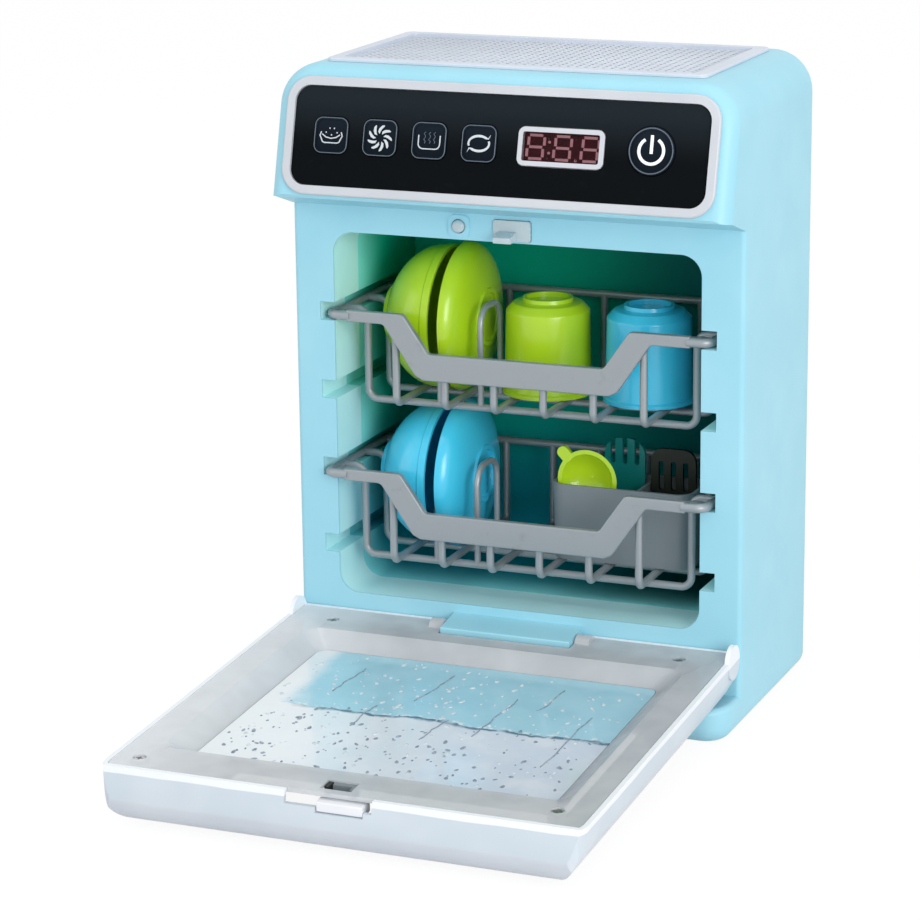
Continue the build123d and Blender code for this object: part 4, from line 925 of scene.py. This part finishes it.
@dataclass
class ControlPanel:
    """Leaning panel: rim, film, buttons with their signs, and the display."""

    shop: Workshop
    middle: Point = (0.0, -60.4, 268.4)
    rise: Point = (0.0, 0.255042, 0.966939)
    button_xs: tuple[float, ...] = (-80.4, -56.3, -32.3, -8.3)
    button_rise: float = 0.4
    button_size: float = 16.8
    face: float = 0.34
    power: Offset = (72.6, 1.3)
    stroke: float = 0.3
    edge_inset: float = 0.45
    edge_corner: float = 3.5
    edge_out: float = 0.62
    edge_stroke: float = 0.24
    faint_stroke: float = 0.16
    print_low: float = 0.1
    print_high: float = 0.2
    blades: int = 9
    ring_radius: float = 10.0
    ring_out: float = 0.8
    power_radius: float = 5.7
    power_out: float = 0.5
    power_stroke: float = 0.75
    dot_radius: float = 0.22
    dot_out: float = -1.3
    dots: tuple[Offset, ...] = ((24.0, 4.3), (24.0, -4.4), (37.0, 4.6), (37.4, -4.6), (49.4, -4.6))

    def spot(self, x: float, up: float, out: float) -> Vector:
        """Point on the leaning panel.

        Args:
            x: across, from the middle.
            up: up the slope, from the middle.
            out: out of the film's face.

        Returns:
            The point in metres.
        """
        up_axis = Vector(self.rise)
        out_axis = Vector((1, 0, 0)).cross(up_axis)
        return (Vector(self.middle) + Vector((x, 0, 0)) + up_axis * up + out_axis * out) * MM

    def stroke_line(self, centre: Offset, points: Iterable[Offset], out: float) -> list[Vector]:
        """Points of a stroke around a centre.

        Args:
            centre: the sign's middle on the panel.
            points: offsets from it.
            out: height out of the film's face.

        Returns:
            The points in metres.
        """
        return [self.spot(centre[0] + a, centre[1] + b, out) for a, b in points]

    @staticmethod
    def arc(radius: float, start: float, end: float, steps: int, squash: float = 1.0) -> Outline:
        """Offsets along an arc.

        Args:
            radius: its radius.
            start: start angle in degrees.
            end: end angle in degrees.
            steps: number of parts.
            squash: height over width.

        Returns:
            The offsets.
        """
        turns = [math.radians(start + (end - start) * i / steps) for i in range(steps + 1)]
        return [(radius * math.cos(t), radius * squash * math.sin(t)) for t in turns]

    @staticmethod
    def rounded(half: float, corner: float) -> Outline:
        """Offsets along a rounded square.

        Args:
            half: half its side.
            corner: its corner radius.

        Returns:
            The offsets.
        """
        points = []
        for turn, (sx, sy) in enumerate(((1, 1), (-1, 1), (-1, -1), (1, -1))):
            for a, b in ControlPanel.arc(corner, 90 * turn, 90 * turn + 90, 6):
                points.append((sx * (half - corner) + a, sy * (half - corner) + b))
        return points

    def wash_sign(self) -> list[Outline]:
        """Bowl with drops above it."""
        bowl = [(-4.9, 1.5), (-5.5, -0.2)] + [(a - 2.9, b - 1.7) for a, b in self.arc(1.7, 190, 270, 6)]
        bowl += [(-a, b) for a, b in reversed(bowl)]
        crescent = [(-4.4, 0.4), (-2.5, -0.9), (0.0, -1.4), (2.5, -0.9), (4.4, 0.4)]
        drops = [(-2.6, 1.0), (-0.9, 2.9), (1.3, 2.9), (2.8, 1.0), (0.1, -0.1)]
        return [bowl, crescent] + [[(x, y), (x + 0.1, y + 0.6)] for x, y in drops]

    def fan_sign(self) -> list[Outline]:
        """Pinwheel of drop-shaped blades, as closed outlines."""
        drop = [(1.8, 0.2), (2.8, -0.1), (4.0, -0.9), (5.2, -2.1)]
        drop += [(5.7, -2.2), (5.6, -1.0), (4.4, 0.4), (2.9, 0.9)]
        outlines = []
        for step in range(self.blades):
            turn = math.radians(360 / self.blades * step + 12)
            cos, sin = math.cos(turn), math.sin(turn)
            outlines.append([(a * cos - b * sin, a * sin + b * cos) for a, b in drop])
        return outlines

    def steam_sign(self) -> list[Outline]:
        """Basin that takes the rising steam."""
        basin = [(-5.2, 2.4), (-5.2, -1.2)] + [(a - 2.9, b - 1.4) for a, b in self.arc(2.3, 180, 270, 6)]
        return [basin + [(-a, b) for a, b in reversed(basin)]]

    def steam_lines(self) -> list[Outline]:
        """Three faint wavy lines over the basin."""
        wave = [(0.5 * math.sin(2.2 * i), -1.2 + 0.85 * i) for i in range(7)]
        return [[(x + a, b) for a, b in wave] for x in (-2.2, 0.2, 2.5)]

    def cycle_sign(self) -> list[Outline]:
        """Two loop arrows of swelling width, as closed outlines."""
        outer = self.arc(5.4, 38, 200, 18, 0.72)
        inner = [(a * 0.84, b * 0.72) for a, b in reversed(outer)]
        upper = [(5.5, 4.1), *outer, *inner[:-1], (4.6, 2.0)]
        return [upper, [(-a, -b) for a, b in upper]]

    def buttons(self) -> None:
        """Programme buttons with sign, and an outline stroke that is a painted highlight on each bevelled
        edge.
        """
        signs = (self.wash_sign(), self.fan_sign(), self.steam_sign(), self.cycle_sign())
        for programme, sign, x in zip(Programme, signs, self.button_xs):
            body = programme.value.replace("button_", "") + "_button"
            centre = (x, self.button_rise)
            self.shop.smooth_node(programme.value, "button_film")
            # outline stroke: a painted highlight along the bevelled edge of the button
            rim = self.rounded(self.button_size / 2 - self.edge_inset, self.edge_corner)
            edge = [(self.stroke_line(centre, rim, self.edge_out), True)]
            name = programme.name.lower()
            black = Fit("bevel_glint_and_print", body, "button_black")
            self.shop.wires(f"{name}_outline", edge, self.edge_stroke, black)
            if programme in (Programme.FAN, Programme.CYCLE):
                outlines = [[(x + a, self.button_rise + b) for a, b in line] for line in sign]
                self.plates(f"{name}_sign", outlines, body)
                continue
            lines = [(self.stroke_line(centre, line, self.face), False) for line in sign]
            self.shop.wires(f"{name}_sign", lines, self.stroke, Fit("icon_white", body, "white_plastic"))
        centre = (self.button_xs[2], self.button_rise)
        faint = [(self.stroke_line(centre, line, self.face), False) for line in self.steam_lines()]
        black = Fit("bevel_glint_and_print", "steam_button", "button_black")
        self.shop.wires("steam_lines", faint, self.faint_stroke, black)

    def plates(self, name: str, outlines: list[Outline], body: str) -> None:
        """Thin printed plates on the buttons.

        Args:
            name: the piece's name.
            outlines: closed outlines on the panel.
            body: the button's body.
        """
        shape = bmesh.new()
        for outline in outlines:
            low = [shape.verts.new(self.spot(x, y, self.face - self.print_low)) for x, y in outline]
            high = [shape.verts.new(self.spot(x, y, self.face + self.print_high)) for x, y in outline]
            shape.faces.new(high)
            self.shop.skirt(shape, low, high)
        bmesh.ops.recalc_face_normals(shape, faces=shape.faces)
        self.shop.mesh(name, shape, Fit("icon_white", body, "white_plastic"), smooth=False)

    def start(self) -> None:
        """Power button with its sign, and a ring stroke that is a painted highlight on its bevelled rim.
        """
        self.shop.smooth_node("power_button", "button_film")
        # ring stroke: a painted highlight along the bevelled rim of the power button
        rim = self.arc(self.ring_radius, 0, 360, 60)[:-1]
        ring = [(self.stroke_line(self.power, rim, self.ring_out), True)]
        black = Fit("bevel_glint_and_print", "start_button", "button_black")
        self.shop.wires("power_outline", ring, self.stroke, black)
        bars = (self.arc(self.power_radius, 122, 418, 44), [(0.0, -1.2), (0.0, 6.9)])
        sign = [(self.stroke_line(self.power, bar, self.power_out), False) for bar in bars]
        # the sign's finish adds a painted glow
        white = Fit("power_sign_painted_glow", "start_button", "white_plastic")
        self.shop.wires("power_sign", sign, self.power_stroke, white)

    def display(self) -> None:
        """Display frame, lens, and digits whose pink edges carry a painted highlight."""
        self.shop.smooth_node("display_frame", "bezel_white")
        self.shop.smooth_node("display_window", "display_lens")
        self.shop.smooth_node("display_module", "digit_core")
        self.shop.smooth_node("display_digits", "digit_edge_glint")
        ring = self.arc(self.dot_radius, 0, 360, 8)[:-1]
        lines = [(self.stroke_line(dot, ring, self.dot_out), True) for dot in self.dots]
        dark = Fit("bevel_glint_and_print", "cabinet", "digit_red")
        self.shop.wires("digit_dots", lines, self.faint_stroke, dark)

    def build(self) -> None:
        """Dresses and prints the panel."""
        self.shop.smooth_node("panel_bezel", "bezel_white")
        self.shop.smooth_node("panel_fascia", "panel_film")
        self.buttons()
        self.start()
        self.display()


@dataclass
class Door:
    """Drop-down door with its wet window."""

    shop: Workshop
    pane_z: float = -4.92
    pane_near: float = -33.0
    pane_far: float = -160.0
    pane_half: float = 80.0
    clip_low: float = -3.0
    clip_top: float = 1.4
    clip_taper: float = 0.94
    drops: int = 420
    drop_sides: int = 10
    drop_rings: tuple[Offset, ...] = ((1.0, 0.0), (0.86, 0.24), (0.5, 0.42))
    drop_widths: tuple[float, ...] = (0.4, 0.45, 0.55, 0.7, 0.9)
    drop_tallest: float = 1.2
    band_far: float = -92.0
    streak_steps: int = 8
    streak_out: float = 0.12
    streak_stroke: float = 0.24
    seed: int = 7

    def spot(self, x: float, y: float, z: float) -> Vector:
        """Point of the door's flat frame, placed in the open pose.

        Args:
            x: across.
            y: along the door, negative away from the hinge.
            z: above the hinge axis.

        Returns:
            The point in metres.
        """
        turned = Matrix.Rotation(math.radians(SAG), 3, "X") @ Vector((x, y, z))
        return (turned + Vector((0, *HINGE))) * MM

    def drop(self, shape: bmesh.types.BMesh, centre: Offset, half: Offset, turn: float) -> None:
        """Adds one flattened water drop.

        Args:
            shape: the bmesh that takes it.
            centre: its middle across and along the door.
            half: half its width and half its length.
            turn: its heading in radians.
        """
        wide, long = half
        made = []
        for share, height in self.drop_rings:
            ring = []
            up = self.pane_z + height * min(wide, self.drop_tallest)
            for step in range(self.drop_sides):
                a = 2 * math.pi * step / self.drop_sides
                tail = 1.0 + 0.25 * math.sin(a)
                dx, dy = math.cos(a) * wide * share / tail, math.sin(a) * long * share
                px = centre[0] + dx * math.cos(turn) - dy * math.sin(turn)
                py = centre[1] + dx * math.sin(turn) + dy * math.cos(turn)
                ring.append(shape.verts.new(self.spot(px, py, up)))
            made.append(ring)
        for low, high in zip(made, made[1:]):
            self.shop.skirt(shape, low, high)
        shape.faces.new(made[-1])

    def rain(self) -> None:
        """Scatters the drops over the pane."""
        dice = random.Random(self.seed)
        pale, dark = bmesh.new(), bmesh.new()
        for _ in range(self.drops):
            x = dice.uniform(-self.pane_half, self.pane_half)
            y = self.pane_near + (self.pane_far - self.pane_near) * dice.random() ** 0.8
            wide = dice.choice(self.drop_widths)
            long = wide * dice.uniform(1.2, 2.4)
            shape = pale if y > self.band_far or dice.random() < 0.3 else dark
            self.drop(shape, (x, y), (wide, long), dice.gauss(0.15, 0.5))
        self.shop.mesh("drops_pale", pale, Fit("drop_pale", "door", "window_clear"))
        self.shop.mesh("drops_dark", dark, Fit("drop_dark", "door", "window_clear"))

    def streaks(self) -> None:
        """Runs of water down the pane."""
        dice = random.Random(self.seed + 1)
        lines = []
        starts = [(-52, -46, 30), (-10, -42, 34), (28, -60, 46), (44, -44, 26)]
        starts += [(66, -70, 58), (-30, -86, 22), (8, -92, 24)]
        for x, y, run in starts:
            points, drift = [], 0.0
            for step in range(self.streak_steps + 1):
                drift += dice.uniform(-1.3, 0.5)
                down = y - run * step / self.streak_steps
                points.append(self.spot(x + drift, down, self.pane_z + self.streak_out))
            lines.append((points, False))
        # the streaks' dark colour is painted shade for the light the water bends
        self.shop.wires("streaks", lines, self.streak_stroke, Fit("drop_dark", "door", "window_clear"))

    def block(self, name: str, outline: Sequence[Offset], finish: str) -> None:
        """Adds a small block that tapers to its flat top.

        Args:
            name: the piece's name.
            outline: its outline in the door's flat frame.
            finish: its finish and slot.
        """
        low, high = [], []
        shape = bmesh.new()
        middle = sum(x for x, _ in outline) / len(outline)
        for x, y in outline:
            top_x = middle + (x - middle) * self.clip_taper
            low.append(shape.verts.new(self.spot(x, y, self.clip_low)))
            high.append(shape.verts.new(self.spot(top_x, y, self.clip_top)))
        shape.faces.new(high)
        shape.faces.new(list(reversed(low)))
        self.shop.skirt(shape, low, high)
        bmesh.ops.recalc_face_normals(shape, faces=shape.faces)
        self.shop.mesh(name, shape, Fit(finish, "door", finish), smooth=False)

    def catch(self) -> None:
        """Grey spring clip with a dark nose, seen in the latch pocket of the liner."""
        clip = [(-6.6, -185.3), (2.8, -185.3), (2.8, -188.6)]
        clip += [(4.4, -188.6), (4.4, -182.3), (-6.6, -182.3)]
        nose = [(-9.2, -187.6), (-7.0, -188.4), (-7.0, -182.3), (-9.2, -182.3)]
        self.block("latch_clip", clip, "box_grey")
        self.block("latch_nose", nose, "dark_plastic")

    def build(self) -> None:
        """Dresses the door and wets its window."""
        finishes = {
            "door_shell": "door_white",
            "door_liner": "liner_clear",
            "door_window": "window_film",
            "door_latch": "latch_white",
            "door_screws": "steel",
            "hinge_pin": "steel",
        }
        for node, finish in finishes.items():
            self.shop.smooth_node(node, finish)
        self.rain()
        self.streaks()
        self.catch()


@dataclass
class Rack:
    """One wire rack with its silver handle band."""

    shop: Workshop
    level: Level

    def build(self) -> None:
        """Dresses every wire group and the handle."""
        for name in sorted(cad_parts):
            if name.startswith(self.level.value + "_"):
                self.shop.smooth_node(name, "rack_silver", CRISP)


@dataclass
class Tableware:
    """Cups, bowls, plates, cutlery and its box."""

    shop: Workshop

    def build(self) -> None:
        """Dresses every dish and the cutlery."""
        for dish in ("cup", "plate", "bowl"):
            for hue in ("green", "blue"):
                self.shop.smooth_node(f"{hue}_{dish}", f"dish_{hue}", CRISP)
        # fork and ladle finishes carry painted shade
        for node, finish in (
            ("cutlery_box", "box_grey"),
            ("spoon", "dish_green"),
            ("fork", "tool_teal"),
            ("ladle", "tool_dark"),
        ):
            self.shop.smooth_node(node, finish, CRISP)


@dataclass(frozen=True)
class Lamp:
    """Square soft light: places in metres, power in watts."""

    name: str
    place: Point
    aim: Point
    size: float
    power: float
    colour: Colour = (1.0, 1.0, 1.0)

    def hang(self) -> None:
        """Adds the light to the scene, facing its aim."""
        data = bpy.data.lights.new(self.name, "AREA")
        data.size = self.size
        data.energy = self.power
        data.color = self.colour
        piece = bpy.data.objects.new(self.name, data)
        piece.location = self.place
        piece.rotation_mode = "QUATERNION"
        piece.rotation_quaternion = (Vector(self.aim) - Vector(self.place)).to_track_quat("-Z", "Y")
        bpy.context.scene.collection.objects.link(piece)


@dataclass
class Studio:
    """Floor, lamps, world and camera."""

    lens: float = 127.4
    azimuth: float = 22.426
    elevation: float = 14.967
    roll: float = -0.651
    sky: float = 0.70
    eye: Point = (529.8, -1390.65, 506.9)
    floor_half: float = 6.0
    floor_glow: float = 1.07
    floor_share: float = 0.86
    white: Colour = (1.0, 1.0, 1.0)
    lamps: tuple[Lamp, ...] = (
        Lamp("key", (1.78, -1.55, 0.72), (0.0, -0.05, 0.14), 1.2, 22.5, (1.0, 0.99, 0.97)),
        Lamp("fill", (-1.6, -1.2, 0.9), (0.0, -0.05, 0.14), 1.4, 4.5, (0.97, 0.98, 1.0)),
        Lamp("top", (0.1, -0.3, 1.7), (0.0, 0.0, 0.1), 1.2, 5.0),
        Lamp("low", (0.9, -1.1, 0.24), (-0.08, 0.0, 0.12), 0.7, 1.8),
    )

    def floor(self) -> None:
        """Wide pale floor that keeps a soft shadow."""
        shape = bmesh.new()
        bmesh.ops.create_grid(shape, x_segments=1, y_segments=1, size=self.floor_half)
        data = bpy.data.meshes.new("floor")
        shape.to_mesh(data)
        shape.free()
        piece = bpy.data.objects.new("floor", data)
        bpy.context.scene.collection.objects.link(piece)
        shader = Shader("floor_white")
        pale = shader.blend(shader.noise(400.0), (0.72, 0.72, 0.73), (0.76, 0.76, 0.77))
        matt = shader.add("ShaderNodeBsdfDiffuse", {}, {"Color": pale})
        glow = shader.add("ShaderNodeEmission", {}, {"Color": self.white, "Strength": self.floor_glow})
        share = shader.seen_plain() * self.floor_share
        shader.add_output(shader.add("ShaderNodeMixShader", {}, {0: share, 1: matt, 2: glow}))
        data.materials.append(shader.material)

    def world(self) -> None:
        """White to the eye, gentle as a light."""
        world = bpy.data.worlds.new("studio")
        bpy.context.scene.world = world
        shader = Shader("studio", world)
        gentle = shader.add("ShaderNodeBackground", {}, {"Color": self.white, "Strength": self.sky})
        plain = shader.add("ShaderNodeBackground", {}, {"Color": self.white, "Strength": 1.0})
        mixed = shader.add("ShaderNodeMixShader", {}, {0: shader.seen_plain(), 1: gentle, 2: plain})
        shader.add_output(mixed, "ShaderNodeOutputWorld")

    def camera(self) -> None:
        """Camera at the photograph's station."""
        az, el, roll = (math.radians(v) for v in (self.azimuth, self.elevation, self.roll))
        ahead = Vector((-math.sin(az) * math.cos(el), math.cos(az) * math.cos(el), -math.sin(el)))
        side = ahead.cross(Vector((0, 0, 1))).normalized()
        top = side.cross(ahead)
        right = side * math.cos(roll) + top * math.sin(roll)
        up = top * math.cos(roll) - side * math.sin(roll)
        data = bpy.data.cameras.new("camera")
        data.lens = self.lens
        data.sensor_width = 36.0
        data.clip_end = 20.0
        piece = bpy.data.objects.new("camera", data)
        turn = Matrix((right, up, -ahead)).transposed().to_4x4()
        piece.matrix_world = Matrix.Translation(Vector(self.eye) * MM) @ turn
        bpy.context.scene.collection.objects.link(piece)
        bpy.context.scene.camera = piece

    def build(self) -> None:
        """Sets up the whole studio."""
        self.floor()
        for lamp in self.lamps:
            lamp.hang()
        self.world()
        self.camera()
        bpy.context.scene.view_settings.view_transform = "Standard"


def main() -> None:
    """Builds every sub-assembly in order and logs each one as it is built."""
    logging.basicConfig(level=logging.INFO, format="%(name)s: %(message)s")
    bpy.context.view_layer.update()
    finishes = Finishes()
    finishes.prepare()
    shop = Workshop(finishes)
    assemblies = [Cabinet(shop), TopTray(shop), ControlPanel(shop), Door(shop)]
    assemblies += [*(Rack(shop, level) for level in Level), Tableware(shop), Studio()]
    for assembly in assemblies:
        assembly.build()
        log.info("built %s", type(assembly).__name__)


if __name__ == "__main__":
    main()
